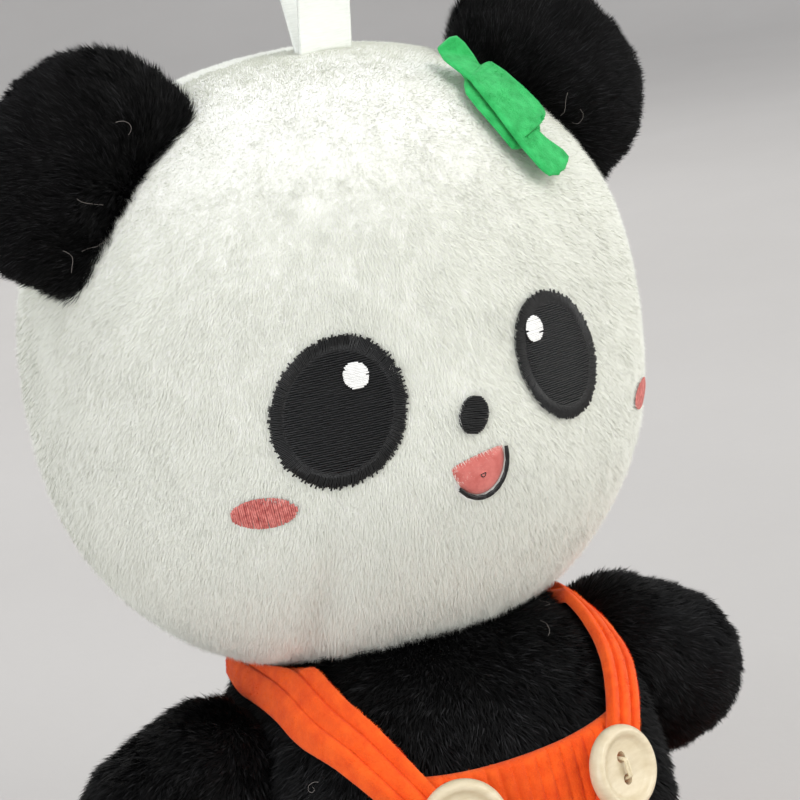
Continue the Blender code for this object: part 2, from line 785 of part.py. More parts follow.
def build_thread(name, seat, normal, up):
    """The visible stitch: a staple down through both holes of the button."""
    floor = 0.0002
    crown = BUTTON_THICK * 0.64 + THREAD_RADIUS + GAP
    half = BUTTON_HOLE_SPACING / 2
    path = [(-half, floor), (-half, crown * 0.8), (-half * 0.75, crown)]
    path += [(half * 0.75, crown), (half, crown * 0.8), (half, floor)]
    curve = bpy.data.curves.new(name, "CURVE")
    curve.dimensions = "3D"
    curve.bevel_depth = THREAD_RADIUS
    curve.bevel_resolution = 1
    curve.use_fill_caps = True
    spline = curve.splines.new("POLY")
    spline.points.add(len(path) - 1)
    for point, (along, high) in zip(spline.points, path):
        point.co = (*(seat + up * along + normal * high), 1.0)
    curve.materials.append(material("thread"))
    bpy.context.scene.collection.objects.link(bpy.data.objects.new(name, curve))


# --- assembly --------------------------------------------------------------------------------
def main():
    clear_scene()
    bpy.context.scene.unit_settings.scale_length = 1.0
    neck_point = Vector((HEAD.centre[0], HEAD.centre[1], NECK_PIVOT_Z))
    neck_pivot = pivot("neck_pivot", neck_point)
    head_pivot = pivot("head_pivot", neck_point, neck_pivot)
    build_head(head_pivot)
    build_ears(head_pivot)
    build_face(head_pivot)
    build_leaf(head_pivot)
    build_hang_loop(head_pivot)
    build_neck(neck_pivot)
    sockets = limb_cutters()
    neck = as_cutter(solid_form("neck_socket", neck_socket(), None))
    build_body([neck] + sockets)
    build_limbs()
    build_pants(sockets)
    build_bib()
    build_straps()
    build_buttons()


main()
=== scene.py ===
import json
import math

import bmesh
import bpy
import numpy as np
from mathutils import Matrix, Vector


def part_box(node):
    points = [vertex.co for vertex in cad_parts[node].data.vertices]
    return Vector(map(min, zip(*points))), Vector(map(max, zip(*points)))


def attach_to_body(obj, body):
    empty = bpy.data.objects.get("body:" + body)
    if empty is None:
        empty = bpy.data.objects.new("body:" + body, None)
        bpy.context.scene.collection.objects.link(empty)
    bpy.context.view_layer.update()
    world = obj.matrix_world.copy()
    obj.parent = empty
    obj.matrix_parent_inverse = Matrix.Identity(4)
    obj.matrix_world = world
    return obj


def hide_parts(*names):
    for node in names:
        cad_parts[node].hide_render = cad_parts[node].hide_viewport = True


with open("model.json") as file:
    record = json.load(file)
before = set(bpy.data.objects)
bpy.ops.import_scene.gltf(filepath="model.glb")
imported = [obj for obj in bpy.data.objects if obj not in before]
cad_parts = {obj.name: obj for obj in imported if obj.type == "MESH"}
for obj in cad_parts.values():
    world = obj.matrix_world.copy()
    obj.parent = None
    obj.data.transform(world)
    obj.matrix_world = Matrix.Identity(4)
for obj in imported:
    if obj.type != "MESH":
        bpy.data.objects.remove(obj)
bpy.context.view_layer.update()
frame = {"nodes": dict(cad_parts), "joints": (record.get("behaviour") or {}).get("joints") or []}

TAU = 2 * math.pi
MM = 0.001


# --- numbers and noise ---
def vec(*v):
    return np.array(v, float)


def unit(v):
    return v / np.maximum(np.linalg.norm(v, axis=-1, keepdims=True), 1e-12)


def dot(a, b):
    return (a * b).sum(-1, keepdims=True)


def smooth(low, high, value):
    t = np.clip((value - low) / (high - low), 0, 1)
    return t * t * (3 - 2 * t)


def bump2(x, z, cx, cz, wx, wz):
    return np.exp(-(((x - cx) / wx) ** 2) - ((z - cz) / wz) ** 2)


LATTICE = np.random.default_rng(11).random((32, 32, 32))


def noise(p, size, shift=0.0):
    """Smooth value noise from 0 to 1 at points p, with features of that size."""
    q = p / size + shift + 4096.5
    cell = np.floor(q).astype(int)
    f = q - cell
    f = f * f * (3 - 2 * f)
    total = np.zeros(len(p))
    for dx in (0, 1):
        for dy in (0, 1):
            for dz in (0, 1):
                share = np.abs(1 - dx - f[:, 0]) * np.abs(1 - dy - f[:, 1]) * np.abs(1 - dz - f[:, 2])
                i = (cell + (dx, dy, dz)) % 32
                total += share * LATTICE[i[:, 0], i[:, 1], i[:, 2]]
    return total


# --- places from the frame ---
def centre_of(node):
    low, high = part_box(node)
    return np.array((low + high) / 2)


JOINTS = {j["name"]: j for j in frame["joints"]}


def joint_at(name):
    return np.array(JOINTS[name]["pos_m"], float)


HEAD = centre_of("head_stuffing")
HEAD_HALF = vec(0.0583, 0.0522, 0.0563)
HEAD_ROUND = (1.95, 2.3)  # exponents in the level section and up the side: 2 is round
TORSO = vec(0, HEAD[1] - 0.014, 0.044)
TORSO_HALF = vec(0.040, 0.041, 0.052)
TORSO_POWER = 2.8
SIDES = {"r": -1, "l": 1}


# --- materials ---
def new_material(name, rough, sheen=0.0, spec=0.5):
    mat = bpy.data.materials.new(name)
    mat.use_nodes = True
    shader = mat.node_tree.nodes["Principled BSDF"]
    shader.inputs["Roughness"].default_value = rough
    shader.inputs["Sheen Weight"].default_value = sheen
    shader.inputs["Specular IOR Level"].default_value = spec
    return mat, mat.node_tree, shader


def strand_tones(name, tones, rough, sheen=0.0, spec=0.5, sheen_tint=None):
    """One plain material for each tone of a pile. Each strand takes one of them."""
    made = []
    for i, tone in enumerate(tones):
        mat, _, shader = new_material(f"{name}_{i}", rough, sheen, spec)
        shader.inputs["Base Color"].default_value = (*tone, 1)
        if sheen_tint:
            shader.inputs["Sheen Tint"].default_value = (*sheen_tint, 1)
        shader.inputs["Sheen Roughness"].default_value = 0.5
        made.append(mat)
    return made


def node(tree, kind, **values):
    made = tree.nodes.new(kind)
    for key, value in values.items():
        made.inputs[key.replace("_", " ")].default_value = value
    return made


def cloth_material(name, dark, light, size, fine, rough=0.85, sheen=0.3, depth=0.0002, spec=0.3,
                   stretch=(1, 1, 1)):
    """A two-tone surface with soft mottling, and fine raised grain in its normals and roughness."""
    mat, tree, shader = new_material(name, rough, sheen, spec)
    link = tree.links.new
    place = tree.nodes.new("ShaderNodeTexCoord")
    scaled = tree.nodes.new("ShaderNodeMapping")
    scaled.inputs["Scale"].default_value = stretch
    link(place.outputs["Object"], scaled.inputs["Vector"])
    mottle = node(tree, "ShaderNodeTexNoise", Scale=1 / size, Detail=4, Roughness=0.6)
    link(scaled.outputs[0], mottle.inputs["Vector"])
    ramp = tree.nodes.new("ShaderNodeValToRGB")
    ramp.color_ramp.elements[0].position = 0.3
    ramp.color_ramp.elements[1].position = 0.7
    ramp.color_ramp.elements[0].color = (*dark, 1)
    ramp.color_ramp.elements[1].color = (*light, 1)
    link(mottle.outputs["Fac"], ramp.inputs["Fac"])
    link(ramp.outputs["Color"], shader.inputs["Base Color"])
    grain = node(tree, "ShaderNodeTexNoise", Scale=1 / fine, Detail=3, Roughness=0.7)
    link(scaled.outputs[0], grain.inputs["Vector"])
    spread = node(tree, "ShaderNodeMapRange")
    spread.inputs["To Min"].default_value = max(rough - 0.12, 0.02)
    spread.inputs["To Max"].default_value = min(rough + 0.1, 1.0)
    link(grain.outputs["Fac"], spread.inputs["Value"])
    link(spread.outputs["Result"], shader.inputs["Roughness"])
    raised = node(tree, "ShaderNodeBump", Strength=0.6, Distance=depth)
    link(grain.outputs["Fac"], raised.inputs["Height"])
    link(raised.outputs["Normal"], shader.inputs["Normal"])
    return mat


WHITE_TONES = strand_tones("white_pile", [
    (0.935, 0.95, 0.875), (0.925, 0.94, 0.86), (0.90, 0.915, 0.825), (0.84, 0.85, 0.755),
], 0.8, 0.15, 0.15)
BLACK_TONES = strand_tones("black_pile", [
    (0.0012, 0.0012, 0.0013), (0.0025, 0.0025, 0.0027), (0.006, 0.006, 0.0063), (0.02, 0.02, 0.021),
], 0.62, 0.0, 0.14)
ORANGE_TONES = strand_tones("orange_nap", [
    (0.82, 0.085, 0.006), (0.95, 0.125, 0.010), (1.0, 0.17, 0.018),
], 0.9, 0.1, 0.1, (1.0, 0.5, 0.3))
GREEN_TONES = strand_tones("green_nap", [
    (0.016, 0.38, 0.085), (0.035, 0.52, 0.135), (0.06, 0.66, 0.19),
], 0.9, 0.1, 0.1, (0.5, 1.0, 0.6))
LINT_TONES = strand_tones("lint", [(0.20, 0.18, 0.165)], 0.6)

# Dark and light tone, size of the mottling and of the grain, then roughness, sheen, the grain's
# depth, specular level and stretch.
LOOKS = {
    "white_backing": ((0.88, 0.88, 0.84), (0.93, 0.93, 0.90), 0.006, 0.0006),
    "black_backing": (
        (0.001, 0.001, 0.001), (0.0025, 0.0025, 0.0026), 0.004, 0.0005, 0.85, 0.0, 0.0002, 0.1
    ),
    "filling": ((0.72, 0.72, 0.70), (0.86, 0.86, 0.84), 0.004, 0.0008, 0.85, 0.3, 0.0006),
    "orange_rib": ((0.80, 0.075, 0.005), (0.97, 0.13, 0.010), 0.003, 0.0004, 0.85, 0.1, 0.0003),
    "green_felt": ((0.014, 0.34, 0.075), (0.045, 0.56, 0.15), 0.0025, 0.0004, 0.85, 0.1, 0.0003),
    "black_thread": (
        (0.0006, 0.0006, 0.0008), (0.010, 0.0105, 0.011), 0.0005, 0.00012, 0.34, 0.0, 0.00005, 0.4
    ),
    "white_thread": ((0.82, 0.82, 0.80), (0.92, 0.92, 0.90), 0.001, 0.00012, 0.4, 0.0, 0.00006, 0.5),
    "pink_thread": ((0.40, 0.05, 0.045), (0.86, 0.30, 0.26), 0.0007, 0.00012, 0.42, 0.0, 0.00006, 0.5),
    "mouth_felt": ((0.54, 0.12, 0.10), (0.70, 0.21, 0.18), 0.002, 0.00025, 0.7, 0.2, 0.00015),
    "ribbon": ((0.80, 0.82, 0.77), (0.90, 0.92, 0.87), 0.002, 0.00015, 0.5, 0.3, 0.00006, 0.3, (1, 1, 8)),
    "resin": ((0.62, 0.52, 0.34), (0.72, 0.63, 0.45), 0.0035, 0.0008, 0.36, 0.0, 0.00003, 0.5, (1, 1, 3)),
    "cotton": ((0.66, 0.56, 0.36), (0.80, 0.70, 0.50), 0.0006, 0.0001, 0.7, 0.1, 0.00008),
    "floor": ((0.50, 0.485, 0.465), (0.54, 0.525, 0.505), 0.4, 0.004, 0.8, 0.0, 0.0001),
}
M = {name: cloth_material(name, *look) for name, look in LOOKS.items()}


# --- meshes ---
def make_object(name, verts, faces, mats, slots=None, normals=None, flat=False):
    """An object from an array of points and one of triangles or quads."""
    faces = np.asarray(faces)
    mesh = bpy.data.meshes.new(name)
    sides = faces.shape[1]
    mesh.vertices.add(len(verts))
    mesh.vertices.foreach_set("co", np.asarray(verts, np.float32).ravel())
    mesh.loops.add(faces.size)
    mesh.loops.foreach_set("vertex_index", faces.astype(np.int32).ravel())
    mesh.polygons.add(len(faces))
    mesh.polygons.foreach_set("loop_start", np.arange(0, faces.size, sides, dtype=np.int32))
    for mat in mats if isinstance(mats, list) else [mats]:
        mesh.materials.append(mat)
    if slots is not None:
        mesh.polygons.foreach_set("material_index", np.asarray(slots, np.int32))
    mesh.update(calc_edges=True)
    if not flat:
        mesh.shade_smooth()
    if normals is not None:
        mesh.normals_split_custom_set_from_vertices(normals.tolist())
    obj = bpy.data.objects.new(name, mesh)
    bpy.context.scene.collection.objects.link(obj)
    return obj


def mend(obj, join=0.0, turn_out=True):
    """Joins points nearer than join, as at a pole, and turns the faces outward."""
    made = bmesh.new()
    made.from_mesh(obj.data)
    if join:
        bmesh.ops.remove_doubles(made, verts=made.verts, dist=join)
    if turn_out:
        bmesh.ops.recalc_face_normals(made, faces=made.faces)
    made.to_mesh(obj.data)
    made.free()


def grid_faces(rows, columns, wrap=False):
    """Quads between rows of points that follow each other. With wrap, each row is a ring."""
    across = columns if wrap else columns - 1
    i, j = np.meshgrid(np.arange(rows - 1), np.arange(across), indexing="ij")
    i, j = i.ravel(), j.ravel()
    k = (j + 1) % columns
    return np.stack([i * columns + j, i * columns + k, (i + 1) * columns + k, (i + 1) * columns + j], 1)


def triangles(faces):
    return faces if faces.shape[1] == 3 else np.concatenate([faces[:, [0, 1, 2]], faces[:, [0, 2, 3]]])


def point_normals(verts, faces):
    tris = triangles(faces)
    a, b, c = (verts[tris[:, i]] for i in range(3))
    flat = np.cross(b - a, c - a)
    total = np.zeros_like(verts)
    for i in range(3):
        np.add.at(total, tris[:, i], flat)
    return unit(total)


def outward(verts, faces, centre):
    """The faces turned so that they look away from centre."""
    tris = triangles(faces)
    a, b, c = (verts[tris[:, i]] for i in range(3))
    volume = (np.cross(b - a, c - a) * ((a + b + c) / 3 - centre)).sum()
    return faces if volume > 0 else faces[:, ::-1]


def attach(obj, body, node_name):
    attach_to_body(obj, body)
    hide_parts(node_name)


class Skin:
    """A smooth surface that strands can grow from."""

    def __init__(self, verts, faces, centre=None):
        self.verts = verts
        self.faces = faces if centre is None else outward(verts, faces, centre)
        self.normals = point_normals(verts, self.faces)

    def sample(self, count, rng):
        tris = triangles(self.faces)
        a, b, c = (self.verts[tris[:, i]] for i in range(3))
        area = np.linalg.norm(np.cross(b - a, c - a), axis=1)
        at = rng.choice(len(tris), count, p=area / area.sum())
        u, v = rng.random((2, count, 1))
        over = (u + v) > 1
        u, v = np.where(over, 1 - u, u), np.where(over, 1 - v, v)
        w = 1 - u - v
        tris = tris[at]
        place = sum(self.verts[tris[:, i]] * s for i, s in enumerate((w, u, v)))
        facing = unit(sum(self.normals[tris[:, i]] * s for i, s in enumerate((w, u, v))))
        return place, facing


def spin(v, axis, angle):
    """Each v turned about its own axis by its own angle."""
    c, s = np.cos(angle)[:, None], np.sin(angle)[:, None]
    return v * c + np.cross(axis, v) * s + axis * dot(axis, v) * (1 - c)


def pile(name, body, skin, count, length, width, lean, nap, *, tones, seed, keep=None, grow=None,
         steps=1, swirl=0.6, ruffle=0.5, droop=0.35, soft=0.6, uneven=0.5, weights=None):
    """Strands on a skin: count flat tapered blades that lean along the nap direction.

    keep gives each root's chance to stay and grow its share of the length. lean is in degrees from
    standing straight. steps is 1 for a stiff short blade, or 2 for a longer one that bends over.
    """
    rng = np.random.default_rng(seed)
    place, facing = skin.sample(count, rng)
    if keep is not None:
        stays = rng.random(len(place)) < keep(place, facing)
        place, facing = place[stays], facing[stays]
    n = len(place)
    flow = nap(place, facing)
    flow = unit(flow - facing * dot(flow, facing) + 1e-6)
    turn = (noise(place, 0.007) - 0.5) * 2 * swirl + (noise(place, 0.0018, 9.1) - 0.5) * 2 * ruffle
    turn += rng.normal(0, 0.18, n)
    flow = spin(flow, facing, turn)
    tilt = math.radians(lean) + (noise(place, 0.005, 3.7) + noise(place, 0.0014, 5.3) - 1) * uneven
    tilt = np.clip(tilt + rng.normal(0, 0.13, n), 0.05, 1.45)
    size = length * rng.uniform(0.72, 1.1, n) * (0.85 + 0.3 * noise(place, 0.003, 2.2))
    if grow is not None:
        size = size * grow(place, facing)
    way = facing * np.cos(tilt)[:, None] + flow * np.sin(tilt)[:, None]
    side = unit(np.cross(way, facing))
    side = spin(side, way, rng.uniform(-0.7, 0.7, n))
    wide = side * (width * rng.uniform(0.7, 1.3, n) / 2)[:, None]
    root = place - facing * 0.0003
    size = size[:, None]
    slot = rng.choice(len(tones), n, p=weights)
    if steps == 1:
        points = np.stack([root - wide, root + wide, root + way * size], 1)
        order = vec(0, 1, 2)[None].astype(int)
    else:
        bent = unit(way + (flow - facing * 0.5) * droop)
        middle = root + way * size * 0.55
        tip = middle + bent * size * 0.45
        points = np.stack([root - wide, root + wide, middle - wide * 0.8, middle + wide * 0.8, tip], 1)
        order = np.array([[0, 1, 3], [0, 3, 2], [2, 3, 4]])
    own = unit(np.cross(points[:, 1] - points[:, 0], way))
    flip = dot(own, facing)[:, 0] < 0
    swap = points[flip]
    swap[:, [0, 1]] = swap[:, [1, 0]]
    if steps > 1:
        swap[:, [2, 3]] = swap[:, [3, 2]]
    points[flip] = swap
    own[flip] *= -1
    shade = unit(own * (1 - soft) + facing * soft)
    per = points.shape[1]
    faces = (np.arange(n)[:, None, None] * per + order[None]).reshape(-1, 3)
    slots, normals = np.repeat(slot, len(order)), np.repeat(shade, per, 0)
    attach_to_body(make_object(name, points.reshape(-1, 3), faces, tones, slots, normals), body)


BLACK_PILE = dict(tones=BLACK_TONES, steps=2, weights=(0.3, 0.3, 0.28, 0.12), soft=0.35)


def lint(name, body, skin, count, seed, keep=None):
    """A few curly stray fibres caught on top of the pile."""
    rng = np.random.default_rng(seed)
    place, facing = skin.sample(count * 8, rng)
    if keep is not None:
        stays = keep(place, facing) > 0.5
        place, facing = place[stays], facing[stays]
    at, facing = place[:count] + facing[:count] * 0.0022, facing[:count]
    n = len(at)
    heading = unit(np.cross(facing, rng.normal(size=(n, 3))))
    bend = rng.normal(0, 0.09, n)
    path, sides = [], []
    for _ in range(16):
        path.append(at)
        sides.append(np.cross(facing, heading) * 0.00003)
        bend = bend + rng.normal(0, 0.06, n)
        heading = spin(heading, facing, bend)
        at = at + heading * 0.00032 + facing * rng.normal(0, 0.0001, (n, 1))
    path, sides = np.stack(path, 1), np.stack(sides, 1)
    points = np.stack([path - sides, path + sides], 2).reshape(-1, 3)
    faces = (np.arange(n)[:, None, None] * 32 + grid_faces(16, 2)[None]).reshape(-1, 4)
    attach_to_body(make_object(name, points, faces, LINT_TONES), body)


def padded_skin(name, skin, body, node_name, cover):
    """The backing of a stuffed part, which its pile grows from. cover is black or white."""
    obj = make_object(name, skin.verts, skin.faces, M[cover + "_backing"])
    attach(obj, body, node_name)


def down(place, facing):
    return np.broadcast_to(vec(0, 0, -1), place.shape)


# --- the stuffed forms ---
def head_reach(way, by=0.0):
    """How far the head's surface lies from its centre, along unit directions."""
    level, upright = HEAD_ROUND
    half = HEAD_HALF + by
    flat = np.abs(way[:, 0] / half[0]) ** level + np.abs(way[:, 1] / half[1]) ** level
    return (flat ** (upright / level) + np.abs(way[:, 2] / half[2]) ** upright) ** (-1 / upright)


DENTS = (  # height, then x, z and the half widths: snout, cheeks, the fold under one cheek, eyes
    (0.0026, 0, -0.0105, 0.019, 0.0145),
    (0.0010, 0.030, -0.020, 0.015, 0.015),
    (0.0010, -0.030, -0.020, 0.015, 0.015),
    (-0.0018, -0.0235, -0.038, 0.0030, 0.016),
    (-0.0005, 0.0208, 0.0007, 0.012, 0.014),
    (-0.0005, -0.0208, 0.0007, 0.012, 0.014),
)


def muzzle(x, z):
    """How far the face stands out over the bare form, at places from the head's centre."""
    return sum(tall * bump2(x, z, *place) for tall, *place in DENTS)


def head_point(way, by=0.0):
    p = way * head_reach(way, by)[:, None]
    p[:, 1] -= muzzle(p[:, 0], p[:, 2]) * smooth(0, -0.02, p[:, 1])
    return p + HEAD


def face_point(x, z, lift=0.0):
    """Points on the face at x and z from the head's centre, lifted off along the surface normal."""
    level, upright = HEAD_ROUND

    def depth(x, z):
        share = (1 - np.abs(z / HEAD_HALF[2]) ** upright) ** (level / upright)
        share = share - np.abs(x / HEAD_HALF[0]) ** level
        return -HEAD_HALF[1] * np.maximum(share, 1e-6) ** (1 / level) - muzzle(x, z)

    step = 2e-4
    y = depth(x, z)
    slope_x = (depth(x + step, z) - depth(x - step, z)) / (2 * step)
    slope_z = (depth(x, z + step) - depth(x, z - step)) / (2 * step)
    normal = unit(np.stack([slope_x, -np.ones_like(y), slope_z], -1))
    return np.stack([x, y, z], -1) + HEAD + normal * np.asarray(lift)[..., None]


def half_sphere_ways(rings, around, side):
    """Rows of unit directions from the pole at one end of Y to the seam."""
    latitude = np.linspace(math.pi / 2, 0, rings)[:, None]
    turn = (np.arange(around) / around * TAU)[None]
    x, z = np.cos(latitude) * np.cos(turn), np.cos(latitude) * np.sin(turn)
    y = np.broadcast_to(side * np.sin(latitude), x.shape)
    return np.stack([x, y, z], -1).reshape(-1, 3), grid_faces(rings, around, True)


def form_reach(way, half, power):
    return (np.abs(way / half) ** power).sum(-1) ** (-1 / power)


def torso_point(way, by=0.0, floor=0.0):
    p = way * form_reach(way, TORSO_HALF + by, TORSO_POWER)[:, None] + TORSO
    p[:, 2] = np.maximum(p[:, 2], floor)
    return p


def torso_front(x, z, lift=0.0):
    """A point on the torso's front at world x and z, with the surface normal's lift."""
    local_z = z - TORSO[2]
    left = 1 - np.abs(x / TORSO_HALF[0]) ** TORSO_POWER - np.abs(local_z / TORSO_HALF[2]) ** TORSO_POWER
    y = -TORSO_HALF[1] * np.maximum(left, 1e-5) ** (1 / TORSO_POWER)
    local = np.stack([x, y, local_z], -1)
    normal = unit(np.sign(local) * np.abs(local / TORSO_HALF) ** (TORSO_POWER - 1) / TORSO_HALF)
    return local + TORSO + normal * np.asarray(lift)[..., None], normal


# --- head ---
# Ovals as (x toward its own side, z, half size, tilt of its top toward the middle), by side.
EYE = {
    "r": (0.0208, 0.0006, (0.0101, 0.0126), math.radians(22)),
    "l": (0.0199, 0.0007, (0.0086, 0.0114), math.radians(20)),
}
GLINT = {"r": (0.0173, 0.0062, (0.0020, 0.0023), 0.0), "l": (0.0152, 0.0064, (0.0019, 0.0022), 0.0)}
BLUSH = {"r": (0.0341, -0.0145, (0.0047, 0.0027), 0.0), "l": (0.0455, -0.0150, (0.0042, 0.0026), 0.0)}
NOSE = (0.0002, -0.0042, (0.0025, 0.0032), math.radians(-25))
MOUTH = dict(z=-0.0117, half=(0.0050, 0.0067), tilt=math.radians(10))


def in_oval(x, z, cx, cz, half, tilt):
    """Where x and z lie in an oval: below 1 is inside."""
    dx, dz = x - cx, z - cz
    u = dx * math.cos(tilt) + dz * math.sin(tilt)
    v = -dx * math.sin(tilt) + dz * math.cos(tilt)
    return np.sqrt((u / half[0]) ** 2 + (v / half[1]) ** 2)


def bare_face(place, facing):
    """Chance for a strand: none on the embroidery, full elsewhere."""
    x, z = (place - HEAD)[:, 0], (place - HEAD)[:, 2]
    front = place[:, 1] < HEAD[1]
    chance = np.ones(len(place))
    for tag, side in SIDES.items():
        for shape in (EYE[tag], BLUSH[tag]):
            chance = np.where(front & (in_oval(x * side, z - 0.0004, *shape) < 0.95), 0, chance)
    c, s = math.cos(MOUTH["tilt"]), math.sin(MOUTH["tilt"])
    along = x * c + (z - MOUTH["z"]) * s
    drop = (x * s - (z - MOUTH["z"]) * c) / (MOUTH["half"][1] + 0.0006)
    mouth = (drop > 0.16 - along * 30) & ((along / (MOUTH["half"][0] + 0.0006)) ** 2 + drop**2 < 1)
    return np.where(front & ((in_oval(x, z, *NOSE) < 0.86) | mouth), 0, chance)


def head_nap(place, facing):
    """Down the face and slightly away from its middle. Over the crown it parts at the seam."""
    local = place - HEAD
    flow = np.zeros_like(place)
    flow[:, 2] = -1
    flow[:, 0] = local[:, 0] * 9
    flow[:, 1] = np.where(local[:, 1] < 0, -0.9, 0.9) * smooth(0.02, 0.056, local[:, 2])
    return flow


def pile_growth(place, facing):
    """Longer under the chin and pressed short over the crown."""
    z = (place - HEAD)[:, 2]
    return 1 + 0.5 * smooth(-0.03, -0.05, z) - 0.4 * smooth(0.02, 0.05, z)


head_skins = {}
for tag, side, node_name in (("front", -1, "head_front_panel"), ("back", 1, "head_back_panel")):
    ways, quads = half_sphere_ways(88, 176, side)
    head_skins[tag] = Skin(head_point(ways, -0.0006), quads, HEAD)
    padded_skin(f"head_{tag}_skin", head_skins[tag], "head", node_name, "white")

ways, quads = half_sphere_ways(40, 80, -1)
core = make_object(
    "head_filling", np.concatenate([head_point(ways, -0.0028), head_point(ways * (1, -1, 1), -0.0028)]),
    np.concatenate([quads, quads[:, ::-1] + len(ways)]), M["filling"],
)
attach(core, "head", "head_stuffing")

HEAD_PILE = dict(length=0.0019, width=0.00015, lean=50, nap=head_nap, tones=WHITE_TONES,
                 grow=pile_growth, swirl=0.25, ruffle=0.2, uneven=0.16, soft=0.75,
                 weights=(0.42, 0.32, 0.2, 0.06))


def face_band(low, high):
    def keep(place, facing):
        z = place[:, 2] - HEAD[2]
        return bare_face(place, facing) * ((z > low) & (z <= high))

    return keep


BAND = 0.0188  # half the height of the middle band of the face
for name, seed, low, high in (("brow", 1, BAND, 1), ("cheeks", 2, -BAND, BAND), ("chin", 4, -1, -BAND)):
    pile("head_pile_" + name, "head", head_skins["front"], 570000, seed=seed,
         keep=face_band(low, high), **HEAD_PILE)
HEAD_PILE.update(width=0.00028, length=0.0021)
pile("head_pile_back", "head", head_skins["back"], 198000, seed=3, **HEAD_PILE)


# --- embroidery ---
def stitches(name, ends, width, height, base, colour, node_name, along=5):
    """Raised threads on the face, from the x and z of each one's two ends, from the head's centre."""
    ends = np.asarray(ends, float)
    a, b = ends[:, 0], ends[:, 1]
    t = np.linspace(0, 1, along)[None, :, None]
    profile = np.array([-1, -0.6, 0, 0.6, 1])
    tall = np.array([0, 0.75, 1, 0.75, 0])
    run = unit(b - a)
    across = np.stack([-run[:, 1], run[:, 0]], -1)[:, None, None, :]
    arch = np.sin(np.clip(t, 0.04, 0.96) * math.pi) ** 0.35
    middle = a[:, None, :] + (b - a)[:, None, :] * t
    thin = (0.6 + 0.4 * arch)[..., None]
    spot = middle[:, :, None, :] + across * profile[None, None, :, None] * (width / 2) * thin
    lift = base + height * arch * tall[None, None, :]
    lift = np.broadcast_to(lift, spot.shape[:3])
    points = face_point(spot[..., 0], spot[..., 1], lift)
    quads = grid_faces(along, 5)
    count = len(ends)
    faces = (np.arange(count)[:, None, None] * along * 5 + quads[None]).reshape(-1, 4)
    verts = points.reshape(-1, 3)
    obj = make_object(name, verts, facing_front(verts, faces), M[colour + "_thread"])
    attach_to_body(obj, "head")
    if node_name:
        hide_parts(node_name)


def facing_front(verts, faces):
    a, b, c = (verts[faces[:, i]] for i in range(3))
    back = np.cross(b - a, c - a)[:, 1] > 0
    faces = faces.copy()
    faces[back] = faces[back][:, ::-1]
    return faces


def plate(name, outline, base, mat, rings=8, count=64):
    """A thin pad under the stitches, which closes the gaps between them."""
    share = np.linspace(0, 1, rings)[:, None]
    turn = (np.arange(count) / count * TAU)[None]
    x, z = outline(turn, share)
    lift = base * (1 - share**6) + np.zeros_like(x) - 0.0002
    verts = face_point(x, z, lift).reshape(-1, 3)
    obj = make_object(name, verts, facing_front(verts, grid_faces(rings, count, True)), mat)
    mend(obj, 1e-6, turn_out=False)
    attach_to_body(obj, "head")
    return obj


def oval_outline(cx, cz, half, tilt, side=1):
    def at(turn, share):
        u, v = half[0] * np.cos(turn) * share, half[1] * np.sin(turn) * share
        x = cx + u * math.cos(tilt) - v * math.sin(tilt)
        return side * x, cz + u * math.sin(tilt) + v * math.cos(tilt)

    return at


def fill_rows(oval, pitch, length, slope, rng, side=1, shrink=0.0):
    """Rows of short threads across an oval, each row starting at its own place."""
    cx, cz, half, tilt = oval
    half = tuple(h - shrink for h in half)
    ends = []
    reach = max(half)
    c, s = math.cos(slope), math.sin(slope)
    for row, v in enumerate(np.arange(-reach, reach, pitch)):
        start = -reach - length * ((row * 0.37) % 1)
        while start < reach:
            p = [(u * c - v * s, u * s + v * c) for u in (start, start + length)]
            clipped = clip_to_oval(np.array(p), half)
            if clipped is not None:
                ends.append(clipped + rng.normal(0, 0.00003, (2, 2)))
            start += length
    ends = np.array(ends)
    u, v = ends[..., 0], ends[..., 1]
    x = cx + u * math.cos(tilt) - v * math.sin(tilt)
    z = cz + u * math.sin(tilt) + v * math.cos(tilt)
    return np.stack([side * x, z], -1)


def clip_to_oval(p, half):
    """The part of a thread that lies in the oval, or None."""
    a, b = p / half, (p[1] - p[0]) / half
    qa, qb, qc = b @ b, 2 * a[0] @ b, a[0] @ a[0] - 1
    left = qb * qb - 4 * qa * qc
    if left <= 0:
        return None
    low, high = ((-qb - math.sqrt(left)) / (2 * qa), (-qb + math.sqrt(left)) / (2 * qa))
    low, high = max(low, 0), min(high, 1)
    return np.array([p[0] + (p[1] - p[0]) * t for t in (low, high)]) if high - low > 0.05 else None


EYE_RIM = 0.0016
for tag, side in SIDES.items():
    rng = np.random.default_rng(40 + side)
    edge = oval_outline(*EYE[tag], side)
    plate("eye_base_" + tag, edge, 0.0006, M["black_thread"])
    rows = fill_rows(EYE[tag], 0.00038, 0.0034, -EYE[tag][3] - 0.05, rng, side, EYE_RIM)
    stitches("eye_fill_" + tag, rows, 0.00040, 0.00032, 0.0004, "black", "eye_patch_" + tag)
    turns = np.arange(250) / 250 * TAU + rng.normal(0, 0.002, 250)
    out = rng.uniform(0.985, 1.045, 250)
    near = np.stack(edge(turns, np.full(250, 0.80)), -1)
    far = np.stack(edge(turns + 0.03, out), -1)
    stitches("eye_border_" + tag, np.stack([near, far], 1), 0.00034, 0.0003, 0.00045, "black", None)
    bright = fill_rows(GLINT[tag], 0.00027, 0.02, 0.0, rng, side)
    stitches("eye_glint_stitches_" + tag, bright, 0.00034, 0.0003, 0.0008, "white", "eye_glint_" + tag, 7)
    cheek = fill_rows(BLUSH[tag], 0.00030, 0.02, math.radians(84), rng, side)
    stitches("blush_stitches_" + tag, cheek, 0.00036, 0.0003, 0.0002, "pink", "blush_" + tag, 7)

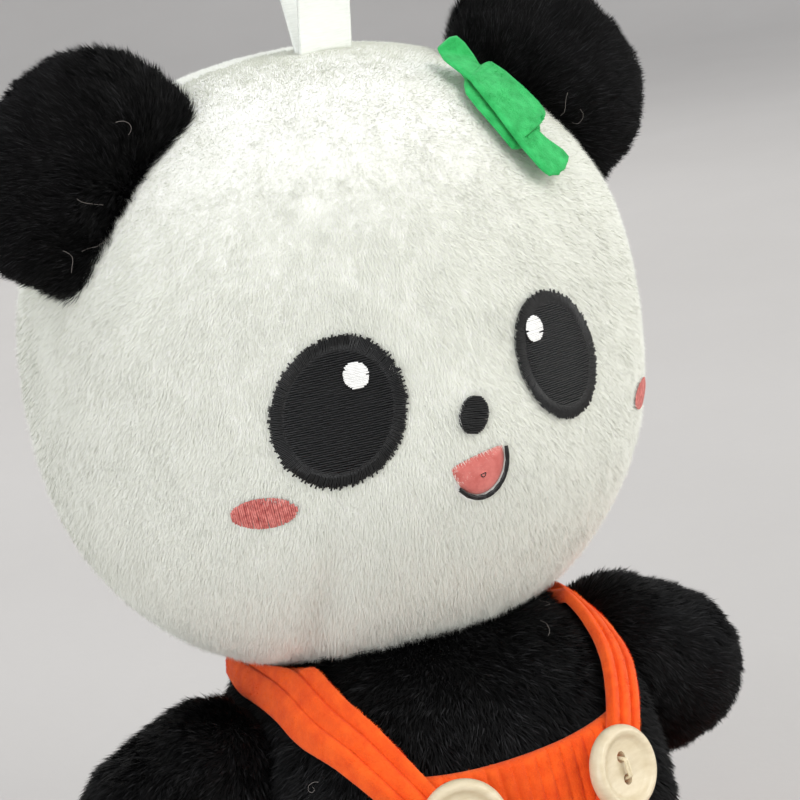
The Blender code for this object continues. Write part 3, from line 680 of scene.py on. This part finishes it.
rng = np.random.default_rng(5)
plate("nose_base", oval_outline(*NOSE), 0.0006, M["black_thread"], 5, 32)
rows = fill_rows(NOSE, 0.00028, 0.02, math.radians(8), rng)
stitches("nose_stitches", rows, 0.00036, 0.0004, 0.0006, "black", "nose", 7)


def smile_outline(turn, share):
    u = MOUTH["half"][0] * np.cos(turn) * share
    v = MOUTH["half"][1] * np.sin(turn) * share
    v = np.where(v < 0, v, v * 0.1)
    c, s = math.cos(MOUTH["tilt"]), math.sin(MOUTH["tilt"])
    return u * c - v * s, MOUTH["z"] + u * s + v * c


def smile_rings(turn, share):
    middle_x, middle_z = smile_outline(np.array(-math.pi / 2), 0.45)
    x, z = smile_outline(turn, np.ones_like(share))
    return middle_x + (x - middle_x) * share, middle_z + (z - middle_z) * share


fill = plate("mouth_cloth", smile_rings, 0.0006, M["mouth_felt"], 10, 72)
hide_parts("mouth_fill")
arc = np.linspace(math.pi * 1.18, math.pi * 1.99, 9)
line = [
    [smile_outline(first - past, out), smile_outline(second + past, out)]
    for first, second in zip(arc, arc[1:])
    for past, out in ((0.06, 1.05), (0.03, 1.09))
]
stitches("mouth_line", line, 0.00055, 0.00045, 0.0003, "black", "mouth_outline", 7)


# --- ears ---
EAR_ANGLE = math.radians(46)
EAR_HALF_BASE = 0.0186
EAR_REACH = 0.0200
EAR_FRONT = 0.0145  # ahead of the head's side seam
EAR_LEAN = 0.24
EAR_POWER = 2.7


def ear_point(side, along, height, depth):
    """Along the head's side seam by arc length, up from the head and out in depth."""
    angle = EAR_ANGLE + along / HEAD_HALF[0]
    depth = depth + EAR_LEAN * height - EAR_FRONT
    way = np.stack([np.sin(angle), depth / 0.055, np.cos(angle)], -1)
    flat = np.stack([np.sin(angle), np.zeros_like(angle), np.cos(angle)], -1)
    out = head_reach(unit(way).reshape(-1, 3)).reshape(angle.shape)
    out = out * np.sqrt(1 - np.clip(depth / 0.056, -0.9, 0.9) ** 2)
    p = flat * (out + height)[..., None]
    p[..., 1] += depth
    return p * (side, 1, 1) + HEAD


def ear_shape(side, face):
    """One face of the ear, puffed in the middle and pinched where it is sewn on."""
    rows, columns = 34, 61
    up = np.sin(np.linspace(0, math.pi / 2, rows))[:, None] * np.ones((1, columns))
    s = np.cos(np.linspace(0, math.pi, columns))[None] * np.ones((rows, 1))
    wide = EAR_HALF_BASE * np.maximum(1 - up**EAR_POWER, 0) ** (1 / EAR_POWER)
    pinch = 0.35 + 0.65 * np.minimum(up / 0.4, 1) ** 0.7
    puff = np.sqrt(np.maximum(1 - s**2, 0)) * np.sqrt(np.maximum(1 - up**2, 0)) * pinch * 0.0068
    grid = ear_point(side, s * wide, up * EAR_REACH - 0.001, face * (0.0003 + puff))
    return grid, grid_faces(rows, columns)


def ear_nap(side):
    root = ear_point(side, np.zeros(1), np.full(1, -0.012), np.zeros(1))[0]

    def flow(place, facing):
        return unit(place - root) + (side * 0.25, 0, -0.1)

    return flow


for tag, side in SIDES.items():
    for label, face in (("front", -1), ("back", 1)):
        grid, quads = ear_shape(side, face)
        verts = grid.reshape(-1, 3)
        middle = ear_point(side, np.zeros(1), np.full(1, 0.01), np.zeros(1))[0]
        skin = Skin(verts, quads, middle + (0, -face * 0.004, 0))
        padded_skin(f"ear_{label}_skin_{tag}", skin, "ear_" + tag, f"ear_{label}_{tag}", "black")
        pile(f"ear_{label}_pile_{tag}", "ear_" + tag, skin, 36000, 0.0038, 0.00020, 38,
             ear_nap(side), seed=60 + side * 2 + face, **BLACK_PILE)
        if face < 0:
            lint("ear_lint_" + tag, "ear_" + tag, skin, 4, 200 + side)


# --- body ---
PANTS_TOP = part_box("pants_front")[1][2]
BIB_LOW, BIB_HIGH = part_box("bib")


def off_clothes(place, facing):
    """Black pile only above the waist and off the bib."""
    x, z = np.abs(place[:, 0]), place[:, 2]
    bib = (place[:, 1] < TORSO[1]) & (z < BIB_HIGH[2] - 0.0015) & (x < 0.0245 - (z - PANTS_TOP) * 0.16)
    arms = np.zeros(len(place), bool)
    for tag in SIDES:
        arms |= np.linalg.norm(place - joint_at("arm_raise_" + tag), axis=1) < 0.0125
    return np.where((z > PANTS_TOP - 0.002) & ~bib & ~arms, 1.0, 0.0)


def body_nap(place, facing):
    flow = np.zeros_like(place)
    flow[:, 2] = -1
    flow[:, 0] = place[:, 0] * 14
    return flow


for tag, side, node_name in (("front", -1, "body_front_panel"), ("back", 1, "body_back_panel")):
    ways, quads = half_sphere_ways(64, 128, side)
    skin = Skin(torso_point(ways, -0.0006, 0.0016), quads, TORSO)
    padded_skin(f"body_{tag}_skin", skin, "torso", node_name, "black")
    pile(f"body_{tag}_pile", "torso", skin, 110000 if side < 0 else 70000, 0.0032, 0.00022, 50,
         body_nap, seed=80 + side, keep=off_clothes, **BLACK_PILE)
    lint(f"body_{tag}_lint", "torso", skin, 7, 210 + side, off_clothes)


# --- limbs ---
def limb_skin(root, way, length, radii, start=math.radians(158), around=72, rings=56):
    """A stuffed tube with a rounded tip, from the tip back past the sewn end."""
    axis = unit(np.array(way, float))
    across = unit(np.cross(axis, vec(0, 0, 1)))
    up = np.cross(across, axis)
    tip = np.linspace(0.0, math.pi / 2, rings // 2)
    end = np.linspace(math.pi / 2, start, rings // 2)
    along = np.concatenate([length + radii[1] * np.cos(tip), radii[0] * np.cos(end)])
    radius = np.concatenate([radii[1] * np.sin(tip), radii[0] * np.sin(end)])
    radius[0] = 1e-5
    turn = np.arange(around) / around * TAU
    ring = np.cos(turn)[:, None] * across + np.sin(turn)[:, None] * up
    verts = root + along[:, None, None] * axis + radius[:, None, None] * ring[None]
    verts = verts.reshape(-1, 3)
    lump = (noise(verts, 0.011, 1.3) - 0.5) * 0.0012
    centre = root + axis * length / 2
    verts = verts + unit(verts - centre) * lump[:, None]
    return Skin(verts, grid_faces(len(along), around, True), centre), axis


ARM_WAY, ARM_LENGTH, ARM_RADII = vec(0.82, 0.08, -0.50), 0.0105, (0.0146, 0.0156)
LEG_WAY, LEG_LENGTH, LEG_RADII = vec(0.24, -0.97, 0.0), 0.052, (0.0158, 0.0176)

LIMBS = (  # body, joint, way, length, radii, bare up to, pile droop, strands, their size and lean
    ("arm_", "arm_raise_", ARM_WAY, ARM_LENGTH, ARM_RADII, -0.0125, -0.5, 42000, 0.0033, 0.00022, 48),
    ("leg_", "leg_lift_", LEG_WAY, LEG_LENGTH, LEG_RADII, 0.041, -0.3, 60000, 0.0030, 0.00024, 50),
)
LIMB_SEED = {"arm_": 90, "leg_": 95}

for tag, side in SIDES.items():
    for kind, joint, way, length, radii, bare, droop, count, size, width, lean in LIMBS:
        root = joint_at(joint + tag)
        skin, axis = limb_skin(root, way * (side, 1, 1), length, radii)
        padded_skin(kind + "skin_" + tag, skin, kind + tag, kind + tag, "black")

        def limb_nap(place, facing):
            return axis + (0, 0, droop) + np.zeros_like(place)

        def past_clothes(place, facing):
            return ((place - root) @ axis > bare) & (place[:, 2] > 0.002)

        pile(kind + "pile_" + tag, kind + tag, skin, count, size, width, lean, limb_nap,
             seed=LIMB_SEED[kind] + side, keep=past_clothes, **BLACK_PILE)


# --- ribbed cloth ---
RIB_PITCH = 0.0024
RIB_DEEP = 0.0006
CLOTH = 0.0013


def ribs(distance, pitch=RIB_PITCH, deep=RIB_DEEP):
    """Height of the ribbing at a distance across it: round ridges with narrow grooves."""
    return deep * np.abs(np.sin(math.pi * distance / pitch)) ** 0.5


def closed_sheet(outer, inner, wrap=False):
    """Points and faces of a thin closed sheet, from matching grids on its face and its back."""
    rows, columns = outer.shape[:2]
    front = grid_faces(rows, columns, wrap)
    count = rows * columns
    faces = [front, front[:, ::-1] + count]
    edges = [np.arange(columns), np.arange(columns) + (rows - 1) * columns]
    if not wrap:
        edges += [np.arange(rows) * columns, np.arange(rows) * columns + columns - 1]
    for index, edge in enumerate(edges):
        here, ahead = (edge, np.roll(edge, -1)) if wrap else (edge[:-1], edge[1:])
        rim = np.stack([here, ahead, ahead + count, here + count], 1)
        faces.append(rim if index in (1, 2) else rim[:, ::-1])
    return np.concatenate([outer.reshape(-1, 3), inner.reshape(-1, 3)]), np.concatenate(faces)


def cloth_sheet(name, body, outer, inner, node_name, flat, area, rests, wrap=False):
    """A sheet of the ribbed cloth, stretched over what it rests on."""
    obj = make_object(name, *closed_sheet(outer, inner, wrap), M["orange_rib"])
    mend(obj)
    attach(obj, body, node_name)


def fuzz(name, body, grid, count, seed, wrap=False, keep=None, centre=TORSO, length=0.00065,
         tones=ORANGE_TONES):
    """A short nap on the face of a sheet."""
    rows, columns = grid.shape[:2]
    skin = Skin(grid.reshape(-1, 3), grid_faces(rows, columns, wrap), centre)
    pile(name, body, skin, count, length, 0.00013, 35, down, tones=tones, seed=seed, keep=keep,
         swirl=2.5, ruffle=1.5, soft=0.3)


def grid_length(points):
    return float(np.linalg.norm(np.diff(points, axis=0), axis=1).sum())


# the bib
columns, rows = 212, 64
across = np.linspace(-1, 1, columns)[None] * np.ones((rows, 1))
up = np.linspace(0, 1, rows)[:, None] * np.ones((1, columns))
BIB_HALF = (0.0255, 0.0205)
half = BIB_HALF[0] + (BIB_HALF[1] - BIB_HALF[0]) * up
bottom, top = BIB_LOW[2] - 0.003, BIB_HIGH[2] - 0.0015 * (1 - across**2)
bib_x, bib_z = across * half, bottom + (top - bottom) * up
edge_round = np.sqrt(np.clip(np.minimum((1 - up) * 30, (1 - np.abs(across)) * 20), 0, 1))
lift = 0.0003 + CLOTH * (0.35 + 0.65 * edge_round) + ribs(bib_x) * edge_round
bib_out, _ = torso_front(bib_x, bib_z, lift)
bib_in, _ = torso_front(bib_x, bib_z, np.full_like(bib_x, 0.0003))
bib_tall = grid_length(bib_in[:, columns // 2])
cloth_sheet("bib_cloth", "torso", bib_out, bib_in, "bib", (0.053, bib_tall), 0.047 * bib_tall,
            ["body_front_skin"])
fuzz("bib_nap", "torso", bib_out, 42000, 101)

# the trousers: two panels round the seat


def seat_section(turn, height, by):
    """x and y on the seat at turns about the upright axis and at a height."""
    local = np.clip((height - TORSO[2]) / (TORSO_HALF[2] + by), -1, 1)
    left = (1 - np.abs(local) ** TORSO_POWER) ** (1 / TORSO_POWER)
    shape = 2 / TORSO_POWER
    x = np.sign(np.cos(turn)) * np.abs(np.cos(turn)) ** shape * (TORSO_HALF[0] + by)
    y = np.sign(np.sin(turn)) * np.abs(np.sin(turn)) ** shape * (TORSO_HALF[1] + by)
    return x * left, y * left


def seat_grid(start, by, ribbed, columns=420, rows=56):
    fine = np.linspace(start, start + math.pi, 4000)
    ring = np.stack(seat_section(fine, PANTS_TOP, by), -1)
    gone = np.concatenate([[0], np.cumsum(np.linalg.norm(np.diff(ring, axis=0), axis=1))])
    turn = np.interp(np.linspace(0, gone[-1], columns), gone, fine)
    distance = np.linspace(0, gone[-1], columns)
    deep = ribs(distance - gone[-1] / 2, RIB_PITCH)[None] if ribbed else 0
    share = np.linspace(0, 1, rows)[:, None]
    cap = np.clip(share * 5, 0, 1)
    height = np.where(share < 0.2, 0.0, (share - 0.2) / 0.8 * PANTS_TOP)
    out = by + deep * smooth(0.2, 0.4, share)
    x, y = seat_section(turn[None], height, out)
    height = np.maximum(height, 0.0004) + np.zeros_like(x)
    points = np.stack([x * cap, y * cap, height], -1)
    return points + (TORSO[0], TORSO[1], 0), gone[-1]


PANTS_TALL = 0.068  # cut height, from under the seat to the waist
for tag, start, node_name in (("front", math.pi, "pants_front"), ("back", 0.0, "pants_back")):
    outer, girth = seat_grid(start, 0.0021, True)
    inner, _ = seat_grid(start, 0.0006, False)
    inner[..., 2] = np.maximum(inner[..., 2], 0.0016)
    cloth_sheet(f"pants_{tag}_cloth", "torso", outer, inner, node_name, (girth, PANTS_TALL),
                0.83 * girth * PANTS_TALL, [f"body_{tag}_skin"])
    fuzz(f"pants_{tag}_nap", "torso", outer, 56000, 110 + len(tag), keep=lambda p, f: p[:, 2] > 0.002)

# the trouser legs, turned up at the hem
for tag, side in SIDES.items():
    hip = joint_at("leg_lift_" + tag)
    axis = unit(LEG_WAY * (side, 1, 1))
    sideways = unit(np.cross(axis, vec(0, 0, 1)))
    upward = np.cross(sideways, axis)
    columns, rows = 400, 72
    turn = np.arange(columns) / columns * TAU
    share = np.linspace(0, 1, rows)[:, None]
    along = 0.004 + (0.0426 - 0.004) * share
    radius = LEG_RADII[0] + (LEG_RADII[1] - LEG_RADII[0]) * along / LEG_LENGTH
    girth = TAU * 0.0182
    hem = smooth(0.70, 0.72, share) * 0.0009 * np.sqrt(np.clip((1 - share) * 18, 0.1, 1))
    gather = 0.0006 * smooth(0.5, 0.7, share) * smooth(0.9, 0.70, share)
    ring = np.cos(turn)[None, :, None] * sideways + np.sin(turn)[None, :, None] * upward
    wave = ribs(turn[None] / TAU * girth, girth / 47) * smooth(0, 0.05, share)
    outer = hip + along[..., None] * axis + (radius + 0.0018 + hem - gather + wave)[..., None] * ring
    inner = hip + along[..., None] * axis + (radius + 0.0007)[..., None] * ring
    for grid in (outer, inner):
        grid[..., 2] = np.maximum(grid[..., 2], 0.0004 if grid is outer else 0.0012)
    cloth_sheet("trouser_leg_" + tag, "leg_" + tag, outer, inner, "cuff_" + tag, (girth, 0.052),
                0.047 * girth, ["leg_skin_" + tag], wrap=True)
    fuzz("trouser_nap_" + tag, "leg_" + tag, outer, 34000, 120 + side, wrap=True,
         centre=hip + axis * 0.02, keep=lambda p, f: p[:, 2] > 0.001)


# the straps
STRAP_WIDTH = 0.0082
STRAP_X = (0.0135, 0.0285, 0.0140)  # at the button, over the shoulder, at the back waist
STRAP_SPREAD, STRAP_RETURN = (0.02, 0.33), (0.50, 1.0)  # shares where it runs out and back in
STRAP_TURNS = (math.radians(20), math.radians(174))
STRAP_ON_BIB, STRAP_ON_BODY = 0.0028, 0.0017
SOCKET_HALF = vec(0.0627, 0.0627, 0.0607)
SOCKET_POWER = 2.2


def strap_surface(x, angle):
    """Where a strap would touch the body at x, in the direction that angle gives."""
    way = np.stack([np.zeros_like(angle), -np.cos(angle), np.sin(angle)], -1)
    room = 1 - np.abs(x / TORSO_HALF[0]) ** TORSO_POWER
    spread = (np.abs(way[..., 1:] / TORSO_HALF[1:]) ** TORSO_POWER).sum(-1)
    out = (room / spread) ** (1 / TORSO_POWER)
    for _ in range(14):
        p = TORSO + way * out[..., None]
        local_x, local_y, local_z = x, p[..., 1] - HEAD[1], p[..., 2] - HEAD[2]
        left = 1 - np.abs(local_x / SOCKET_HALF[0]) ** SOCKET_POWER
        left = left - np.abs(local_y / SOCKET_HALF[1]) ** SOCKET_POWER
        floor = -SOCKET_HALF[2] * np.maximum(left, 1e-6) ** (1 / SOCKET_POWER)
        over = (local_z > floor) & (way[..., 2] > 0.3)
        out = out - np.where(over, (local_z - floor) * way[..., 2], 0)
    return out, way


for tag, side in SIDES.items():
    rows, columns = 150, 41
    share = np.linspace(0, 1, rows)[:, None]
    across = np.linspace(-0.5, 0.5, columns)[None]
    angle = STRAP_TURNS[0] + (STRAP_TURNS[1] - STRAP_TURNS[0]) * share + np.zeros_like(across)
    front, high, back = STRAP_X
    spread = np.clip((share - STRAP_SPREAD[0]) / (STRAP_SPREAD[1] - STRAP_SPREAD[0]), 0, 1)
    middle = front + (high - front) * np.sin(spread * math.pi / 2)
    middle = middle + (back - high) * smooth(*STRAP_RETURN, share)
    x = middle + across * STRAP_WIDTH
    out, way = strap_surface(x, angle)
    settle = np.clip(1 - (angle - math.radians(52)) / math.radians(10), 0, 1)
    base = STRAP_ON_BODY + (STRAP_ON_BIB - STRAP_ON_BODY) * settle
    rolled = np.sqrt(np.clip((0.5 - np.abs(across)) * 9, 0, 1)) * np.sqrt(np.clip(share * 60, 0.05, 1))
    ridges = ribs((across + 0.5) * STRAP_WIDTH, STRAP_WIDTH / 3, 0.0015)
    tall = 0.0003 + 0.0007 * rolled + ridges * rolled
    grids = []
    for lift in (base + tall, base):
        p = TORSO + way * (out + lift)[..., None]
        p[..., 0] = x * side
        grids.append(p)
    long = grid_length(grids[1][:, columns // 2])
    cloth_sheet("strap_cloth_" + tag, "torso", *grids, "strap_" + tag, (0.010, long),
                STRAP_WIDTH * long, ["body_front_skin", "body_back_skin"])
    fuzz("strap_nap_" + tag, "torso", grids[0], 26000, 130 + side)


# --- buttons ---
def turned(profile, seat, axis, around=96):
    """A solid turned from a profile of (height, radius) about an axis."""
    across = unit(np.cross(axis, vec(0, 0, 1)))
    up = np.cross(across, axis)
    turn = np.arange(around) / around * TAU
    ring = np.cos(turn)[:, None] * across + np.sin(turn)[:, None] * up
    profile = np.array(profile)
    profile[:, 1] = np.maximum(profile[:, 1], 1e-5)
    verts = seat + profile[:, 0, None, None] * axis + profile[:, 1, None, None] * ring[None]
    verts = verts.reshape(-1, 3)
    return verts, grid_faces(len(profile), around, True), across, up


def smooth_profile(points, steps=10):
    """A Catmull-Rom curve through a profile's points."""
    p = np.array([points[0], *points, points[-1]], float)
    out = []
    for i in range(1, len(p) - 2):
        for t in np.linspace(0, 1, steps, endpoint=False):
            a, b, c, d = p[i - 1 : i + 3]
            bend, twist = 2 * a - 5 * b + 4 * c - d, 3 * b - a - 3 * c + d
            out.append(0.5 * (2 * b + (c - a) * t + bend * t**2 + twist * t**3))
    return np.array(out + [p[-1]])


BUTTON_RADIUS, BUTTON_THICK = 0.0075, 0.0032
BUTTON_Z, BUTTON_LIFT, BUTTON_TILT = 0.0688, 0.0022, math.radians(11)
HOLE_RADIUS, HOLE_SPACING = 0.0010, 0.0040

for tag, side in SIDES.items():
    seat, normal = torso_front(vec(STRAP_X[0]), vec(BUTTON_Z), vec(STRAP_ON_BIB + CLOTH))
    c, s = math.cos(BUTTON_TILT), math.sin(BUTTON_TILT)
    normal = vec(normal[0][0] * c - normal[0][1] * s, normal[0][0] * s + normal[0][1] * c, normal[0][2])
    seat, normal = (seat[0] + normal * BUTTON_LIFT) * (side, 1, 1), normal * (side, 1, 1)
    r, t = BUTTON_RADIUS, BUTTON_THICK
    outline = [
        (0, 0), (0, r * 0.5), (0.0001, r * 0.84), (t * 0.12, r * 0.95), (t * 0.38, r),
        (t * 0.7, r * 0.99), (t * 0.93, r * 0.93), (t, r * 0.85), (t * 0.94, r * 0.77),
        (t * 0.76, r * 0.69), (t * 0.66, r * 0.60), (t * 0.60, r * 0.35), (t * 0.60, 0),
    ]
    verts, quads, across_way, up_way = turned(smooth_profile(outline), seat, normal)
    quads = outward(verts, quads, seat + normal * t / 2)
    button = make_object("button_disc_" + tag, verts, quads, M["resin"])
    mend(button, 3e-5)
    for sign in (-1, 1):
        at = seat + up_way * sign * HOLE_SPACING / 2
        outline = [(-0.002, 0), (-0.002, HOLE_RADIUS), (0.004, HOLE_RADIUS), (0.004, 0)]
        bore, sides, _, _ = turned(outline, at, normal, 32)
        drill = make_object("drill", bore, outward(bore, sides, at), M["resin"])
        cut = button.modifiers.new("hole", "BOOLEAN")
        cut.solver = "EXACT"
        cut.operation = "DIFFERENCE"
        cut.object = drill
        bpy.context.view_layer.objects.active = button
        bpy.ops.object.modifier_apply(modifier="hole")
        bpy.data.objects.remove(drill)
    button.data.shade_smooth()
    button.data.set_sharp_from_angle(angle=math.radians(40))
    attach(button, "torso", "button_" + tag)

    for index, offset in enumerate((-0.00028, 0.00028)):
        path = []
        for q in np.linspace(-1, 1, 17):
            high = 0.0004 + (t * 0.60 + 0.0005) * min(1, (1 - abs(q)) * 5)
            apart = across_way * offset * (1 - abs(q) ** 4)
            path.append(seat + up_way * q * HOLE_SPACING / 2 + apart + normal * high)
        curve = bpy.data.curves.new(f"button_stitch_{index}_{tag}", "CURVE")
        curve.dimensions = "3D"
        curve.bevel_depth = 0.00026
        curve.bevel_resolution = 3
        curve.use_fill_caps = True
        spline = curve.splines.new("POLY")
        spline.points.add(len(path) - 1)
        for point, place in zip(spline.points, path):
            point.co = (*place, 1)
        curve.materials.append(M["cotton"])
        stitch = bpy.data.objects.new(curve.name, curve)
        bpy.context.scene.collection.objects.link(stitch)
        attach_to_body(stitch, "torso")
        if index == 0:
            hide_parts("button_thread_" + tag)


# --- hanging ribbon ---
LOOP_LOW, LOOP_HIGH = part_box("hang_loop")
LOOP_WIDTH = max(LOOP_HIGH[0] - LOOP_LOW[0], 0.010)
LOOP_SUNK = 0.0026  # its foot is sewn in under the pile
LOOP_TALL = LOOP_HIGH[2] - LOOP_LOW[2] - 0.0008 + LOOP_SUNK
foot = (np.array(LOOP_LOW) + np.array(LOOP_HIGH)) / 2
foot[2] = LOOP_LOW[2] + 0.0004 - LOOP_SUNK
turn = np.linspace(0, TAU, 241)[:-1]
tall = LOOP_TALL / 2 * (1 - np.cos(turn))
widen = smooth(0, 0.7 * LOOP_TALL, tall)
depth = (0.0030 + (0.0095 - 0.0030) * widen) * np.sin(turn)
spine = np.stack([np.zeros_like(turn), depth, tall], -1) + foot
tangent = unit(np.roll(spine, -1, 0) - np.roll(spine, 1, 0))
out_way = np.cross(tangent, vec(1, 0, 0))
across = np.linspace(-1, 1, 25)
ribbon = []
for face in (1, -1):
    thick = 0.00018 + 0.00012 * smooth(0.86, 0.95, np.abs(across))[None]
    cup = 0.0003 * (across**2)[None]
    wide = (across * LOOP_WIDTH / 2)[None, :, None] * vec(1, 0, 0)
    face_grid = spine[:, None, :] + wide + out_way[:, None, :] * (face * thick + cup)[..., None]
    ribbon.append(face_grid.transpose(1, 0, 2))
loop = make_object("hanging_ribbon", *closed_sheet(*ribbon, wrap=True), M["ribbon"])
mend(loop)
attach(loop, "loop", "hang_loop")


# --- leaf ---
# The flat leaf's length, its width and the way that it faces.
LEAF_RUN = vec(0.4644, -0.3385, -0.8159)
LEAF_OVER = vec(0.7562, -0.3236, 0.5552)
LEAF_FACING = vec(-0.4564, -0.8833, 0.1067)
LEAF_CENTRE = vec(0.0265, -0.0319, 0.0422)  # from the head's centre
LEAF_EAR = 0.0215  # its outer edge stands up against the ear, this far ahead of the side seam


def leaf_layer(name, along, front, back, lift, node_name, seed):
    """A felt shape from the places of its two edges, in mm along and across the leaf."""
    rows, columns = 200, 36
    u = np.linspace(along[0], along[-1], rows)
    low, high = np.interp(u, along, front), np.interp(u, along, back)
    share = np.linspace(0, 1, columns)[None]
    v = low[:, None] + (high - low)[:, None] * share
    flat = LEAF_CENTRE + (u[:, None, None] * LEAF_RUN + v[..., None] * LEAF_OVER) * MM
    near, far = np.full(v.shape, 0.03), np.full(v.shape, -0.04)
    for _ in range(30):
        middle = (near + far) / 2
        p = flat + LEAF_FACING * middle[..., None]
        size = np.linalg.norm(p, axis=-1)
        way = (p / size[..., None]).reshape(-1, 3)
        outside = (size > head_reach(way).reshape(v.shape) + lift) & (p[..., 1] < -LEAF_EAR - lift)
        near, far = np.where(outside, middle, near), np.where(outside, far, middle)
    for _ in range(30):
        ends = np.pad(near, 1, "edge")
        around = ends[1:-1, :-2] + ends[1:-1, 2:] + ends[:-2, 1:-1] + ends[2:, 1:-1]
        near = np.maximum(near, around / 4)
    sheet = HEAD + flat + LEAF_FACING * near[..., None]
    quads = grid_faces(rows, columns)
    normal = Skin(sheet.reshape(-1, 3), quads, HEAD).normals.reshape(sheet.shape)
    rim = np.minimum(1, np.minimum(share, 1 - share) * (high - low)[:, None] * 2.2)
    rim = np.sqrt(np.clip(rim, 0.12, 1))[..., None]
    outer = sheet + normal * 0.00055 * rim
    inner = sheet - normal * 0.00045 * rim
    leaf = make_object(name, *closed_sheet(outer, inner), M["green_felt"])
    mend(leaf)
    attach(leaf, "head", node_name)
    fuzz(name + "_nap", "head", outer, 16000, seed, centre=HEAD, length=0.0005, tones=GREEN_TONES)


LEAF_TOP = (
    (-15.3, -14.6, -13.0, -10.4, -8.2, -7.6, -7.2, -4.0, -0.4, 3.0, 5.2, 5.9, 6.2, 9.0, 12.3, 14.0, 14.9),
    (-2.4, -2.8, -3.0, -2.6, -2.2, -2.1, -2.1, -2.3, -2.6, -3.0, -3.2, -3.3, -3.35, -3.5, -3.6, -3.3, -2.0),
    (0.4, 1.5, 1.7, 1.4, 0.9, 1.1, 2.9, 3.5, 3.8, 4.0, 3.9, 3.4, 0.5, 0.7, 1.4, 1.35, -0.6),
)
LEAF_UNDER = (
    (-10.0, -8.2, -7.4, -6.1, -3.5, -0.9, 3.0, 6.2, 6.9, 7.2),
    (-2.2, -2.6, -3.4, -4.1, -4.35, -4.45, -4.6, -4.8, -4.2, -3.2),
    (0.8, 0.8, 0.8, 0.8, 1.0, 1.2, 1.6, 1.6, 1.2, 0.6),
)
leaf_layer("leaf_lower", *LEAF_UNDER, 0.0013, "leaf_under", 141)
leaf_layer("leaf_upper", *LEAF_TOP, 0.0026, "leaf_top", 142)


# --- what stays from the CAD ---
for name, obj in frame["nodes"].items():
    if obj.hide_render:
        continue
    kind = "filling" if "stuffing" in name else "cotton"
    for slot in obj.material_slots:
        slot.material = M[kind]


# --- floor, light and camera ---
def backdrop():
    """A round floor that turns up into a wall, far outside every camera."""
    profile = [(0.0, 0.0), (1.6, 0.0), (2.2, 0.06), (2.6, 0.3), (2.8, 0.8), (2.85, 2.2)]
    profile = smooth_profile([(z, r) for r, z in profile], 12)
    verts, quads, _, _ = turned(profile, vec(0, 0, -0.0002), vec(0, 0, 1) + vec(1e-9, 0, 0), 96)
    floor = make_object("floor", verts, outward(verts, quads, vec(0, 0, 50))[:, ::-1], M["floor"])


backdrop()


def area_light(name, place, aim, size, power, colour):
    lamp = bpy.data.lights.new(name, "AREA")
    lamp.shape = "DISK"
    lamp.size = size
    lamp.energy = power
    lamp.color = colour
    obj = bpy.data.objects.new(name, lamp)
    bpy.context.scene.collection.objects.link(obj)
    obj.location = place
    obj.rotation_euler = (Vector(aim) - Vector(place)).to_track_quat("-Z", "Y").to_euler()


area_light("key", (0.55, -0.95, 1.05), HEAD, 0.75, 7.6, (1.0, 0.99, 0.96))
area_light("fill", (-1.1, -0.9, 0.45), HEAD, 1.0, 10.5, (0.97, 0.98, 1.0))
area_light("side", (1.25, -0.55, 0.25), HEAD, 0.8, 6.5, (1.0, 0.99, 0.96))
area_light("rim", (0.3, 1.2, 0.9), HEAD, 0.8, 4.5, (1.0, 0.98, 0.95))

world = bpy.data.worlds.new("studio")
bpy.context.scene.world = world
world.use_nodes = True
world.node_tree.nodes["Background"].inputs["Color"].default_value = (0.93, 0.95, 1.0, 1)
world.node_tree.nodes["Background"].inputs["Strength"].default_value = 1.08

CAMERA_SIDE, CAMERA_HIGH, CAMERA_ROLL = math.radians(22.0), math.radians(11.6), math.radians(9.6)
CAMERA_AWAY = 0.42
LENS, SENSOR = 101.7, 36.0
AIM = (-0.0283, 0.02196)  # the head's centre from the middle of the view, as slopes to the right and up
back = vec(-math.sin(CAMERA_SIDE), -math.cos(CAMERA_SIDE), 0) * math.cos(CAMERA_HIGH)
back[2] = math.sin(CAMERA_HIGH)
level = vec(math.cos(CAMERA_SIDE), -math.sin(CAMERA_SIDE), 0)
above = np.cross(back, level)
right = level * math.cos(CAMERA_ROLL) - above * math.sin(CAMERA_ROLL)
above = np.cross(back, right)
eye = HEAD + back * CAMERA_AWAY
back = unit(back + right * AIM[0] + above * AIM[1])
right = unit(right - back * (right @ back))
above = np.cross(back, right)
camera = bpy.data.objects.new("camera", bpy.data.cameras.new("camera"))
bpy.context.scene.collection.objects.link(camera)
camera.data.lens = LENS
camera.data.sensor_width = SENSOR
camera.data.clip_start = 0.02
camera.data.clip_end = 20
camera.matrix_world = Matrix([[right[i], above[i], back[i], eye[i]] for i in range(3)] + [[0, 0, 0, 1]])
bpy.context.scene.camera = camera
bpy.context.scene.view_settings.view_transform = "Standard"
